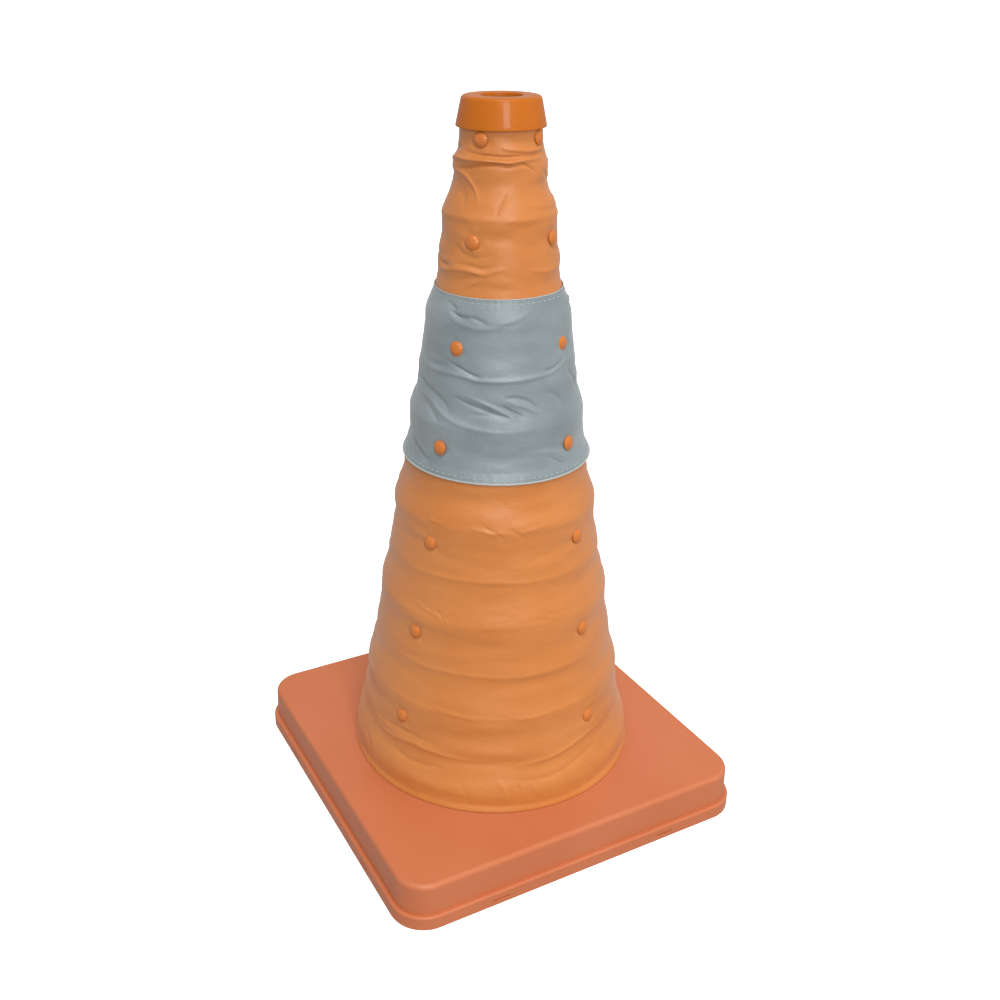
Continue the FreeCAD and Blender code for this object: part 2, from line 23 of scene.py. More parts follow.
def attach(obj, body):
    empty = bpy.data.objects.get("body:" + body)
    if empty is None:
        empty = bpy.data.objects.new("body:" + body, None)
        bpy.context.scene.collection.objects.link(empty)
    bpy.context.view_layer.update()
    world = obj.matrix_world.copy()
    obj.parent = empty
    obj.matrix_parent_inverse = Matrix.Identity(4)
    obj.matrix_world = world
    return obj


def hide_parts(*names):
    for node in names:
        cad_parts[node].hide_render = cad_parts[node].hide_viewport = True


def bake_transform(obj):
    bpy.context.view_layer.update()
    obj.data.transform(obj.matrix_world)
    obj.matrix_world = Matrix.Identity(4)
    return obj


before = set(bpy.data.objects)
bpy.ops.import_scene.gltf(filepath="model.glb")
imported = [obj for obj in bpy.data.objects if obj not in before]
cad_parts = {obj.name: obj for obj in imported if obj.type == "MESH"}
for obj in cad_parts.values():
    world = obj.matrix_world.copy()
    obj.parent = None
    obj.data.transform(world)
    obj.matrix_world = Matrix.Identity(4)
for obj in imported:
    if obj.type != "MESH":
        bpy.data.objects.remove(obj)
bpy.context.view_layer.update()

log = logging.getLogger("traffic_cone")

MM = 0.001
FRONT = math.radians(-119.6)
"""Bearing of the side that faces the camera, from +X."""

Linear = tuple[float, float, float]
FloatArray = np.ndarray


class Side(Enum):
    """Which way a fold stands out of the cloth."""

    RIDGE = 1.0
    VALLEY = -1.0


# ---- shader maths and nodes ----


class Shade:
    """A shader socket that takes part in Python expressions.

    Args:
        graph: the node sheet that the expression's Math nodes go on.
        socket: the output socket that gives the value.
    """

    def __init__(self, graph: "NodeSheet", socket: bpy.types.NodeSocket) -> None:
        self.graph = graph
        self.socket = socket

    def _math(self, operation: str, *terms: "Shade | float") -> "Shade":
        """Adds one Math node and returns its value."""
        return self.graph.node("Math", {"operation": operation}, dict(enumerate(terms)))

    def __add__(self, other: "Shade | float") -> "Shade":
        """The sum."""
        return self._math("ADD", self, other)

    __radd__ = __add__

    def __sub__(self, other: "Shade | float") -> "Shade":
        """The difference."""
        return self._math("SUBTRACT", self, other)

    def __mul__(self, other: "Shade | float") -> "Shade":
        """The product."""
        return self._math("MULTIPLY", self, other)

    __rmul__ = __mul__

    def sine(self) -> "Shade":
        """The sine of the value."""
        return self._math("SINE", self)

    def ramp(self, low: float, high: float) -> "Shade":
        """Goes smoothly from 0 at low to 1 at high.

        Args:
            low: the value that gives 0.
            high: the value that gives 1.

        Returns:
            The eased value.
        """
        settings = {"interpolation_type": "SMOOTHSTEP", "clamp": True}
        return self.graph.node("MapRange", settings, {0: self, 1: low, 2: high, 3: 0.0, 4: 1.0})


class NodeSheet:
    """The nodes of one material.

    Args:
        name: the material's name.
    """

    def __init__(self, name: str) -> None:
        self.material = bpy.data.materials.new(name)
        self.material.use_nodes = True
        self.tree = self.material.node_tree
        self.tree.nodes.clear()

    def add(self, kind: str, settings: dict, inputs: dict) -> bpy.types.ShaderNode:
        """Adds a node, with its settings first and then its sockets.

        Args:
            kind: the node's type, without the ShaderNode prefix.
            settings: properties of the node by name.
            inputs: values or links by socket name or number.

        Returns:
            The new node.
        """
        node = self.tree.nodes.new("ShaderNode" + kind)
        for name, value in settings.items():
            setattr(node, name, value)
        for key, value in inputs.items():
            if isinstance(value, Shade):
                self.tree.links.new(value.socket, node.inputs[key])
            else:
                node.inputs[key].default_value = value
        return node

    def node(self, kind: str, settings: dict, inputs: dict, output: str | int = 0) -> Shade:
        """Adds a node and returns one of its outputs.

        Args:
            kind: the node's type, without the ShaderNode prefix.
            settings: properties of the node by name.
            inputs: values or links by socket name or number.
            output: the output's name or number.

        Returns:
            The output as a value for expressions.
        """
        return Shade(self, self.add(kind, settings, inputs).outputs[output])

    def place(self) -> Shade:
        """The object's own coordinates."""
        return self.node("TexCoord", {}, {}, "Object")

    def cloth_place(self) -> Shade:
        """The cloth's own coordinates, in metres along and across the weave."""
        return self.node("UVMap", {"uv_map": CLOTH_UV}, {})

    def noise(self, where: Shade, scale: float, detail: float = 2.0, rough: float = 0.5) -> Shade:
        """Soft noise from 0 to 1.

        Args:
            where: the coordinates that it reads.
            scale: features per metre.
            detail: octaves.
            rough: strength of the finer octaves.

        Returns:
            The noise value.
        """
        inputs = {"Vector": where, "Scale": scale, "Detail": detail, "Roughness": rough}
        return self.node("TexNoise", {}, inputs)

    def stretch(self, where: Shade, scale: Sequence[float]) -> Shade:
        """Coordinates scaled along each axis."""
        return self.node("Mapping", {}, {"Vector": where, "Scale": tuple(scale)})

    def blend(self, factor: Shade | float, one: "Shade | Linear", other: "Shade | Linear") -> Shade:
        """Mixes two colours.

        Args:
            factor: 0 for the first colour and 1 for the second.
            one: the first colour.
            other: the second colour.

        Returns:
            The mixed colour.
        """
        inputs = {0: factor, 6: colour(one), 7: colour(other)}
        return self.node("Mix", {"data_type": "RGBA"}, inputs, 2)

    def bump(self, height: Shade, distance: float, strength: float = 1.0) -> Shade:
        """A normal from a height.

        Args:
            height: relief from 0 to 1.
            distance: depth of the relief in metres.
            strength: how much of it shows.

        Returns:
            The normal.
        """
        inputs = {"Height": height, "Distance": distance, "Strength": strength}
        return self.node("Bump", {}, inputs)

    def finish(self, **sockets: "Shade | float | Linear") -> bpy.types.Material:
        """Adds the shader and the output.

        Args:
            **sockets: Principled sockets, with underscores for spaces.

        Returns:
            The material.
        """
        inputs = {name.replace("_", " "): colour(value) for name, value in sockets.items()}
        shader = self.node("BsdfPrincipled", {}, inputs)
        self.add("OutputMaterial", {}, {"Surface": shader})
        return self.material


CLOTH_UV = "cloth"


def colour(value: "Shade | float | Linear") -> "Shade | float | tuple[float, ...]":
    """A linear colour with its alpha, or any other value as it is."""
    if isinstance(value, tuple) and len(value) == 3:
        return (*value, 1.0)
    return value


# ---- finishes ----


@dataclass(frozen=True)
class MouldedPlastic:
    """Satin moulded plastic with a fine spark-eroded grain.

    Args:
        name: the material's name.
        body: main colour.
        pale: colour of rubbed and scuffed places.
        rough: roughness of the clean face.
        grain: depth of the grain in metres.
        coat: strength of a clear gloss on top.
        gleam: strength of the plain reflections.
        coat_rough: roughness of the clear gloss.
    """

    name: str
    body: Linear
    pale: Linear
    rough: float = 0.42
    grain: float = 0.00003
    coat: float = 0.0
    gleam: float = 0.35
    coat_rough: float = 0.07

    def material(self) -> bpy.types.Material:
        """Builds the material."""
        sheet = NodeSheet(self.name)
        where = sheet.place()
        drift = sheet.noise(where, 14.0, 3.0).ramp(0.3, 0.72)
        specks = sheet.noise(where, 900.0, 2.0).ramp(0.6, 0.78)
        scuff = sheet.noise(sheet.stretch(where, (60.0, 260.0, 120.0)), 1.0, 4.0, 0.6).ramp(0.6, 0.82)
        grain = sheet.noise(where, 1500.0, 2.0, 0.6)
        wave = sheet.noise(where, 45.0, 2.0)
        shade = sheet.blend(drift * 0.35 + specks * 0.10 + scuff * 0.22, self.body, self.pale)
        rough = drift * 0.07 + scuff * 0.12 + self.rough
        normal = sheet.bump(grain * 0.8 + wave * 3.0, self.grain)
        return sheet.finish(
            Base_Color=shade,
            Roughness=rough,
            Normal=normal,
            Coat_Weight=self.coat,
            Coat_Roughness=self.coat_rough,
            Specular_IOR_Level=self.gleam,
        )


@dataclass(frozen=True)
class CoatedWeave:
    """Plain-woven cloth under a thin satin coating.

    Args:
        name: the material's name.
        body: main colour.
        light: colour of the cloth where it is stretched and rubbed.
        thread: width of one thread in metres.
        relief: depth of the weave in metres.
        rough: roughness of the coating.
        sheen: strength of the sheen.
        metal: share of the face that reflects as metal does.
    """

    name: str
    body: Linear
    light: Linear
    thread: float = 0.00042
    relief: float = 0.00005
    rough: float = 0.40
    sheen: float = 0.10
    metal: float = 0.0

    def material(self) -> bpy.types.Material:
        """Builds the material."""
        sheet = NodeSheet(self.name)
        where = sheet.cloth_place()
        parts = sheet.add("SeparateXYZ", {}, {"Vector": where})
        across, along = Shade(sheet, parts.outputs[0]), Shade(sheet, parts.outputs[1])
        turns = math.pi / self.thread
        weave = (across * turns).sine() * (along * turns).sine() * 0.5 + 0.5
        place = sheet.place()
        yarn = sheet.noise(sheet.stretch(where, (160.0, 2600.0, 1.0)), 1.0, 2.0)
        filling = sheet.noise(sheet.stretch(where, (2600.0, 160.0, 1.0)), 1.0, 2.0)
        drift = sheet.noise(place, 22.0, 4.0, 0.55).ramp(0.32, 0.7)
        crumple = sheet.noise(sheet.stretch(place, (120.0, 120.0, 190.0)), 1.0, 3.0, 0.55)
        tint = drift * 0.45 + yarn * 0.22 + filling * 0.16 + weave * 0.12
        shade = sheet.blend(tint, self.body, self.light)
        rough = crumple * 0.12 + yarn * 0.06 + (self.rough - 0.08)
        woven = sheet.bump(weave * 0.8 + yarn * 0.5 + filling * 0.4, self.relief)
        inputs = {"Height": crumple, "Distance": 0.0007, "Strength": 0.5, "Normal": woven}
        normal = sheet.node("Bump", {}, inputs)
        return sheet.finish(
            Base_Color=shade,
            Roughness=rough,
            Normal=normal,
            Metallic=self.metal,
            Sheen_Weight=self.sheen,
            Sheen_Roughness=0.45,
        )


@dataclass(frozen=True)
class TwistedThread:
    """Sewing thread or woven tape, with the twist of its yarns.

    Args:
        name: the material's name.
        body: main colour.
        pale: colour between the yarns.
        pitch: length of one turn of the twist in metres.
    """

    name: str
    body: Linear
    pale: Linear
    pitch: float = 0.0006

    def material(self) -> bpy.types.Material:
        """Builds the material."""
        sheet = NodeSheet(self.name)
        where = sheet.place()
        parts = sheet.add("SeparateXYZ", {}, {"Vector": where})
        x, y, z = (Shade(sheet, parts.outputs[n]) for n in range(3))
        turns = 2.0 * math.pi / self.pitch
        twist = ((x - y + z * 1.4) * turns).sine() * 0.5 + 0.5
        soil = sheet.noise(where, 70.0, 3.0).ramp(0.35, 0.75)
        shade = sheet.blend(twist * 0.4 + soil * 0.4, self.body, self.pale)
        return sheet.finish(
            Base_Color=shade,
            Roughness=soil * 0.15 + 0.6,
            Normal=sheet.bump(twist, 0.00008),
            Sheen_Weight=0.2,
        )


@dataclass(frozen=True)
class PaperSweep:
    """The pale seamless floor that the cone stands on.

    Args:
        name: the material's name.
        tone: main colour.
        mottled: colour of its faint clouds.
        glow: strength of its own light.
    """

    name: str = "studio_floor"
    tone: Linear = (0.93, 0.93, 0.93)
    mottled: Linear = (0.9, 0.9, 0.9)
    glow: float = 0.50

    def material(self) -> bpy.types.Material:
        """Builds the material."""
        sheet = NodeSheet(self.name)
        mottle = sheet.noise(sheet.place(), 3.0, 2.0)
        shade = sheet.blend(mottle * 0.2, self.tone, self.mottled)
        return sheet.finish(
            Base_Color=shade,
            Roughness=0.9,
            Specular_IOR_Level=0.1,
            Emission_Color=(1.0, 1.0, 1.0),
            Emission_Strength=self.glow,
        )


class Palette:
    """Every finish of the cone, made once."""

    def __init__(self) -> None:
        self.base = self._plastic("moulded_base", (0.475, 0.135, 0.052), (0.53, 0.175, 0.080), 0.44)
        self.plate = self._plastic("moulded_plate", (0.58, 0.11, 0.035), (0.66, 0.16, 0.06), 0.5)
        fine = 0.00001
        body, pale = (0.450, 0.115, 0.006), (0.50, 0.140, 0.012)
        self.cap = self._plastic("gloss_cap", body, pale, 0.36, fine, 0.11, 0.15)
        body, pale = (0.50, 0.143, 0.022), (0.56, 0.175, 0.04)
        self.rivet = self._plastic("rivet_plastic", body, pale, 0.30, fine, 0.2, 0.3)
        self.tier = self._plastic("tier_plastic", (0.60, 0.14, 0.03), (0.68, 0.2, 0.06), 0.4)
        self.ring = self._plastic("black_ring", (0.03, 0.03, 0.032), (0.07, 0.07, 0.07), 0.5)
        self.sleeve = CoatedWeave("sleeve_weave", (0.490, 0.155, 0.026), (0.55, 0.200, 0.050)).material()
        self.band = CoatedWeave(
            "reflective_weave",
            (0.150, 0.185, 0.195),
            (0.270, 0.312, 0.322),
            thread=0.00036,
            relief=0.00003,
            rough=0.46,
            sheen=0.25,
            metal=0.15,
        ).material()
        self.piping = TwistedThread("piping_tape", (0.40, 0.42, 0.41), (0.29, 0.31, 0.31), 0.0011).material()
        self.white_thread = self._thread("white_thread", (0.44, 0.47, 0.48), (0.33, 0.36, 0.37))
        self.orange_thread = self._thread("orange_thread", (0.60, 0.17, 0.035), (0.45, 0.11, 0.02))

    @staticmethod
    def _plastic(name: str, body: Linear, pale: Linear, rough: float, *gloss: float) -> bpy.types.Material:
        """A moulded plastic; gloss gives its grain, coat and gleam where they aren't the usual ones."""
        return MouldedPlastic(name, body, pale, rough, *gloss).material()

    @staticmethod
    def _thread(name: str, body: Linear, pale: Linear) -> bpy.types.Material:
        """A sewing thread."""
        return TwistedThread(name, body, pale).material()


# ---- the shape of the cloth ----


def ease(t: "FloatArray | float") -> "FloatArray | float":
    """Smoothstep of a value or an array, held to 0 and 1 outside that range."""
    t = np.clip(t, 0.0, 1.0)
    return t * t * (3.0 - 2.0 * t)


def turned(bearing: FloatArray, middle: float) -> FloatArray:
    """Angle from a middle bearing, between minus and plus half a turn."""
    return (bearing - middle + math.pi) % (2.0 * math.pi) - math.pi


@dataclass(frozen=True)
class Drape:
    """How the cloth hangs from one tier's top edge to the next, in millimetres.

    Args:
        start: how far it stands off the collar at the tier's top edge.
        lean: how much it widens on each millimetre down.
        belly: depth below the edge where the belly starts and ends, and how far it stands out.
        fall: the same for the run out to the next tier.
        taut: rise of the taut line over the tier's top edge.
    """

    start: float = 1.0
    lean: float = 0.010
    belly: tuple[float, float, float] = (13.0, 39.0, 3.4)
    fall: tuple[float, float, float] = (37.0, 67.0, 6.0)
    taut: float = 0.22


@dataclass(frozen=True)
class Fold:
    """A crease or a soft ridge that runs over the cloth.

    Args:
        path: points of its line, as degrees right of the front and millimetres above the floor.
        lift: how far it stands out or in, in millimetres.
        width: half-width in millimetres.
        side: whether it stands out or in.
        spread: how much wider it is below its line than above it.
    """

    path: tuple[tuple[float, float], ...]
    lift: float
    width: float
    side: Side = Side.RIDGE
    spread: float = 1.0

    @cached_property
    def line(self) -> FloatArray:
        """Points of the smooth line through the path: radians, millimetres, and 0 to 1 along the line."""
        steps, scale = 8, 50.0
        points = [Vector((math.radians(a), z / scale, 0.0)) for a, z in self.path]
        points = [points[0] * 2 - points[1], *points, points[-1] * 2 - points[-2]]
        rows = []
        runs = len(self.path) - 1
        for run in range(runs):
            p0, p1, p2, p3 = points[run : run + 4]
            for step in range(steps + (run == runs - 1)):
                t = step / steps
                middle = (p2 - p0) * 0.5 * t + (p0 * 2 - p1 * 5 + p2 * 4 - p3) * 0.5 * t * t
                point = p1 + middle + (p1 * 3 - p0 - p2 * 3 + p3) * 0.5 * t**3
                rows.append((point.x, point.y * scale, (run + t) / runs))
        return np.array(rows)

    def relief(self, bearing: FloatArray, height: FloatArray, radius: FloatArray) -> FloatArray:
        """How far the fold moves points of the cloth.

        Args:
            bearing: radians right of the front.
            height: millimetres above the floor.
            radius: the cloth's radius there.

        Returns:
            Millimetres outwards.
        """
        line = self.line
        moved = np.zeros_like(bearing)
        widths, fade = 3.2, 1.2
        reach = widths * self.width * max(1.0, self.spread)
        span = np.ptp(line[:, 0]) / 2 + reach / 20.0
        near = np.abs(turned(bearing, float(line[:, 0].mean()))) < span
        near &= (height > line[:, 1].min() - reach) & (height < line[:, 1].max() + reach)
        if not near.any():
            return moved
        b, z, r = bearing[near], height[near], radius[near]
        best = np.full(b.shape, 1e9)
        side = np.zeros(b.shape)
        along = np.zeros(b.shape)
        for one, two in zip(line[:-1], line[1:]):
            dx, dz = turned(b, one[0]) * r, z - one[1]
            ex, ez = (two[0] - one[0]) * r, two[1] - one[1]
            t = np.clip((dx * ex + dz * ez) / (ex * ex + ez * ez + 1e-9), 0.0, 1.0)
            away = np.hypot(dx - t * ex, dz - t * ez)
            closer = away < best
            best = np.where(closer, away, best)
            side = np.where(closer, dz - t * ez, side)
            along = np.where(closer, one[2] + t * (two[2] - one[2]), along)
        width = np.where(side < 0.0, self.width * self.spread, self.width)
        profile = 1.0 / (1.0 + (best / width) ** 2) ** 2
        profile *= ease((widths - best / width) / fade)
        ends = np.sin(np.pi * np.clip(along, 0.02, 0.98)) ** 0.6
        moved[near] = self.side.value * self.lift * profile * ends
        return moved


RIDGE, VALLEY = Side.RIDGE, Side.VALLEY

TOP_FOLDS = (
    # the pinched tuck under the cap, and the loose cloth round it
    Fold(((0, 424.6), (18, 423.6), (45, 422.6), (82, 423.4)), 1.30, 1.8, RIDGE, 0.7),
    Fold(((-50, 421.6), (-28, 420.4), (0, 419.6), (33, 419.8), (70, 421.0)), 1.59, 1.4, VALLEY),
    Fold(
        (
            (-98, 415.5), (-73, 418.0), (-46, 418.0), (-18, 418.2), (9, 417.4), (32, 418.6),
            (64, 417.8),
        ),
        2.17, 1.6,
    ),
    Fold(
        (
            (-70, 412.0), (-50, 412.8), (-21, 415.6), (-2, 416.2), (9, 415.2), (24, 416.0),
            (33, 415.2), (45, 411.4),
        ),
        1.74, 0.9, VALLEY,
    ),
    Fold(((-84, 411.5), (-62, 411.2), (-44, 409.0), (-30, 402.5), (-25, 396.5)), 1.01, 1.5, RIDGE, 0.8),
    Fold(((-92, 408.5), (-66, 405.0), (-48, 400.5), (-40, 394.0)), 1.16, 2.5, VALLEY),
    Fold(((-4, 389.8), (-1, 393.0), (5, 397.0), (9, 401.0)), 0.65, 0.9, VALLEY),
    Fold(((0, 390.5), (4, 394.0), (11, 399.0)), 0.51, 1.0, RIDGE),
    Fold(((60, 412.0), (75, 406.0), (88, 398.0)), 1.01, 2.3, VALLEY),
    Fold(((84, 418.0), (98, 415.0), (120, 416.5)), 0.60, 1.8, RIDGE),
    Fold(((86, 410.5), (110, 408.0), (140, 411.0)), 1.30, 1.6, VALLEY),
    Fold(((-100, 420.5), (-80, 421.5), (-62, 424.0)), 1.30, 2.0, VALLEY),
)

PLEATS = tuple(
    Fold(((a, 414.6), (a + 0.8, 416.2), (a + 1.0, 418.4)), 0.35, 0.5)
    for a in (12.5, 16.0, 19.5, 23.0, 26.5)
)

UPPER_FOLDS = (
    Fold(((-38, 373.0), (-32, 370.6), (-26, 369.8), (-20, 370.4), (-15, 372.6)), 0.75, 1.2, RIDGE),
    Fold(((-46, 372.0), (-36, 367.8), (-22, 366.2), (-8, 368.5)), 0.75, 1.7, VALLEY),
    Fold(((-80, 362.0), (-64, 359.4), (-50, 360.2)), 1.35, 1.4, VALLEY, 1.3),
    Fold(
        (
            (-86, 357.0), (-62, 356.4), (-46, 358.0), (-30, 359.0), (-14, 357.6), (-4, 359.6),
            (6, 360.6),
        ),
        1.05, 1.2, RIDGE,
    ),
    Fold(((-44, 361.8), (-30, 361.6), (-14, 360.6), (-2, 362.4)), 0.90, 1.2, VALLEY),
    Fold(((-36, 347.5), (-26, 351.0), (-14, 355.0)), 0.75, 1.6, RIDGE),
    Fold(((-40, 352.5), (-28, 355.0), (-16, 357.5)), 0.68, 1.5, VALLEY),
    Fold(((52, 372.0), (64, 368.0), (80, 366.5), (96, 369.0)), 0.90, 1.7, VALLEY),
    Fold(((30, 359.5), (50, 357.0), (72, 358.0)), 0.75, 1.9, RIDGE),
)

BAND_FOLDS = (
    Fold(((-50, 341.4), (-42, 338.6), (-34, 336.4)), 1.90, 1.2, VALLEY),
    Fold(((-42, 336.0), (-32, 333.4), (-22, 332.4)), 1.90, 1.2, VALLEY),
    Fold(((-28, 333.8), (-18, 333.4), (-8, 331.2)), 1.05, 1.1, VALLEY),
    Fold(((-42, 333.0), (-28, 329.6), (-10, 328.2), (4, 330.6)), 0.74, 1.7, RIDGE),
    Fold(((-6, 331.5), (8, 332.6), (18, 334.6), (28, 338.0)), 0.54, 1.3, RIDGE),
    # the long sagging crease between the two rows of rivets
    Fold(
        (
            (-78, 303.5), (-66, 300.8), (-54, 300.4), (-34, 300.8), (-22, 300.4), (-12, 299.2),
            (8, 299.4), (26, 300.2), (42, 301.4), (56, 304.8), (72, 309.0),
        ),
        1.28, 1.1, RIDGE, 1.5,
    ),
    Fold(((-38, 307.2), (-28, 304.6), (-17, 301.6), (-11, 300.8)), 1.49, 1.0, VALLEY),
    Fold(((36, 302.2), (46, 303.2), (58, 306.6)), 1.49, 0.9, VALLEY),
    Fold(((-62, 303.6), (-48, 303.6), (-36, 305.0)), 0.81, 1.3, VALLEY),
    # the loose swags of the lower half
    Fold(
        (
            (-84, 287.0), (-66, 284.0), (-50, 281.8), (-41, 277.8), (-29, 274.0), (-15, 271.6),
            (0, 270.2),
        ),
        1.35, 1.7, RIDGE, 1.2,
    ),
    Fold(((-74, 293.0), (-62, 289.0), (-50, 286.8), (-40, 283.0), (-33, 278.8)), 1.49, 1.6, VALLEY),
    Fold(((-58, 280.0), (-49, 276.0), (-41, 271.6), (-34, 267.0)), 1.22, 1.4, VALLEY),
    Fold(((-30, 287.6), (-22, 285.4), (-10, 282.6), (2, 279.4), (10, 278.4)), 1.28, 1.1, VALLEY),
    Fold(((-22, 289.4), (-10, 286.6), (2, 282.2), (12, 277.6)), 0.94, 1.1, RIDGE),
    Fold(((4, 284.6), (11, 281.2), (19, 277.4)), 1.22, 1.0, VALLEY),
    Fold(((-17, 278.6), (-8, 279.4), (0, 279.2)), 0.94, 0.9, VALLEY),
    Fold(((6, 289.2), (14, 289.0), (22, 286.8), (31, 281.0)), 1.15, 1.0, VALLEY),
    Fold(((10, 286.0), (20, 283.6), (32, 277.6)), 0.81, 1.2, RIDGE),
    Fold(((34, 292.0), (46, 286.0), (56, 277.0)), 0.68, 1.7, VALLEY),
    Fold(((60, 300.0), (70, 292.0), (78, 282.0)), 0.94, 1.7, VALLEY),
    Fold(((-96, 306.0), (-84, 297.0), (-76, 286.0)), 1.08, 1.7, VALLEY),
    Fold(((-68, 254.5), (-60, 250.6), (-50, 246.6), (-42, 243.6)), 1.01, 1.3, VALLEY),
    Fold(((-76, 256.0), (-64, 255.0), (-52, 251.0), (-44, 248.0)), 0.68, 1.3, RIDGE),
    Fold(((34, 252.8), (40, 249.2), (48, 244.2)), 0.94, 0.9, VALLEY),
    Fold(((22, 256.0), (36, 255.0), (48, 250.0)), 0.54, 1.5, RIDGE),
)

LOWER_FOLDS = (
    # the taut edge of tier 5, with the small dents that break it
    Fold(((-40, 213.2), (-34, 212.2), (-26, 213.0)), 0.61, 0.9, RIDGE),
    Fold(((-14, 212.6), (-8, 211.8), (0, 210.4), (6, 210.6)), 0.61, 0.9, RIDGE),
    Fold(((14, 210.0), (22, 211.6), (32, 212.8)), 0.54, 0.9, RIDGE),
    Fold(((-6, 214.6), (-2, 212.0), (3, 209.4), (5, 206.0)), 0.54, 0.9, VALLEY),
    Fold(((8, 213.0), (13, 209.6), (17, 206.0)), 0.47, 1.1, VALLEY),
    Fold(
        (
            (-60, 180.0), (-46, 177.8), (-28, 179.0), (-6, 179.4), (12, 179.0), (36, 178.4),
            (60, 180.5),
        ),
        0.61, 2.1, RIDGE,
    ),
    Fold(((-42, 158.0), (-36, 156.0), (-28, 154.2), (-21, 152.4)), 0.61, 1.0, RIDGE),
    Fold(((-30, 158.0), (-26, 155.0), (-23, 151.0)), 0.47, 0.9, VALLEY),
    Fold(((26, 155.4), (33, 153.6), (41, 154.6)), 0.54, 0.9, RIDGE),
    Fold(
        (
            (-58, 121.0), (-40, 118.8), (-14, 119.6), (14, 119.0), (40, 119.8), (62, 121.4),
        ),
        0.54, 2.1, RIDGE,
    ),
    Fold(((-27, 94.6), (-18, 93.8), (-6, 91.8)), 0.54, 1.0, RIDGE),
    Fold(((10, 91.6), (28, 93.6), (46, 94.4)), 0.47, 1.0, RIDGE),
    Fold(
        (
            (-62, 62.0), (-50, 61.4), (-36, 65.0), (-25, 64.6), (-12, 63.6), (4, 63.8),
        ),
        0.75, 1.9, RIDGE, 1.2,
    ),
    Fold(((-66, 67.0), (-52, 68.0), (-38, 69.6), (-22, 69.4)), 0.60, 1.7, VALLEY),
    Fold(((-48, 55.0), (-34, 53.0), (-20, 55.4)), 0.81, 2.3, VALLEY),
    Fold(((12, 60.0), (26, 62.0), (42, 66.4), (56, 69.0)), 0.81, 1.9, RIDGE),
    Fold(((10, 51.0), (24, 50.0), (40, 54.0), (52, 58.0)), 0.68, 2.1, VALLEY),
    Fold(((3, 53.0), (6, 46.0), (7, 38.0)), 0.34, 1.9, RIDGE),
    Fold(((10, 51.0), (12, 44.0), (12, 37.0)), 0.34, 1.7, VALLEY),
    Fold(((16, 50.0), (19, 43.0), (20, 36.0)), 0.34, 2.0, RIDGE),
    Fold(((-12, 49.0), (-9, 42.0), (-9, 35.0)), 0.32, 2.0, VALLEY),
    Fold(((-66, 50.0), (-60, 43.0), (-58, 36.0)), 0.55, 2.2, VALLEY),
    Fold(((44, 48.0), (47, 41.0), (48, 35.0)), 0.55, 2.1, VALLEY),
)


@dataclass(frozen=True)
class TierStack:
    """Sizes that the seven tiers share, in millimetres.

    Args:
        top: height of tier 1's top edge.
        pitch: from one tier's top edge to the next.
        collar: outer radius of tier 1's collar.
        step: how much wider each tier is than the one above.
        collar_height: upright part of a tier, and the same on tier 1.
        rivet_level: from a tier's top edge down to its rivets, and the same on tier 1.
        flare: how much wider a tier's foot is than its collar, and the same on the last tier.
        flare_stop: from the flare's foot to the next tier's top edge.
        foot_reach: how far a tier's foot goes below the next tier's top edge.
        edge_round: rounding of a tier's top edge.
        turns: bearing of each tier's first rivet, in degrees from +X.
        banded: the tiers under the reflective band.
    """

    top: float = 448.3
    pitch: float = 59.0
    collar: float = 22.2
    step: float = 10.0
    collar_height: tuple[float, float] = (22.0, 26.0)
    rivet_level: tuple[float, float] = (15.0, 19.4)
    flare: tuple[float, float] = (6.65, 8.6)
    flare_stop: float = 2.0
    foot_reach: float = 5.0
    edge_round: float = 1.5
    turns: tuple[float, ...] = (32.5, 34.2, 28.9, 23.4, 23.3, 20.1, 18.0)
    banded: tuple[int, int] = (3, 4)


STACK = TierStack()

ARC_DEGREES = 57.3
"""Degrees that an arc as long as its radius takes up, about."""


@dataclass(frozen=True)
class TierLine:
    """Where one tier stands and how the cloth hangs on it, in millimetres.

    Args:
        number: 1 for the top tier.
        top: height of its top edge.
        collar: outer radius of its collar.
        cut: height where the cloth's stretches meet on it.
        rivet_height: height of its rivets.
        rivet_bearing: bearing of its first rivet, in degrees from +X.
        drape: how the cloth hangs below it.
    """

    number: int
    top: float
    collar: float
    cut: float
    rivet_height: float
    rivet_bearing: float
    drape: Drape

    def rivet_bearings(self) -> list[float]:
        """Bearings of the four rivets, in radians from +X."""
        return [math.radians(self.rivet_bearing + 90.0 * turn) for turn in range(4)]

    @property
    def body(self) -> str:
        """The body that this tier is."""
        return f"tier_{self.number}"


DRAPES = (
    Drape(belly=(20.0, 36.0, 3.3), fall=(43.0, 64.0, 6.1), taut=0.0),
    Drape(belly=(12.0, 32.0, 2.2), fall=(40.0, 61.0, 6.66), taut=0.65),
    Drape(lean=0.100, belly=(14.0, 40.0, 1.0), fall=(46.0, 62.0, 3.0), taut=0.0),
    Drape(lean=0.030, belly=(14.0, 36.0, 3.4), fall=(40.0, 64.0, 5.48), taut=0.0),
    Drape(),
    Drape(),
    Drape(belly=(12.0, 30.0, 2.2), fall=(30.0, 54.0, 6.1)),
)


def tier_lines() -> list[TierLine]:
    """The seven tiers from the top down."""
    tiers = []
    for index, (turn, drape) in enumerate(zip(STACK.turns, DRAPES)):
        top = STACK.top - STACK.pitch * index
        first = index == 0
        tiers.append(
            TierLine(
                number=index + 1,
                top=top,
                collar=STACK.collar + STACK.step * index,
                cut=top - STACK.collar_height[first],
                rivet_height=top - STACK.rivet_level[first],
                rivet_bearing=turn,
                drape=drape,
            )
        )
    return tiers


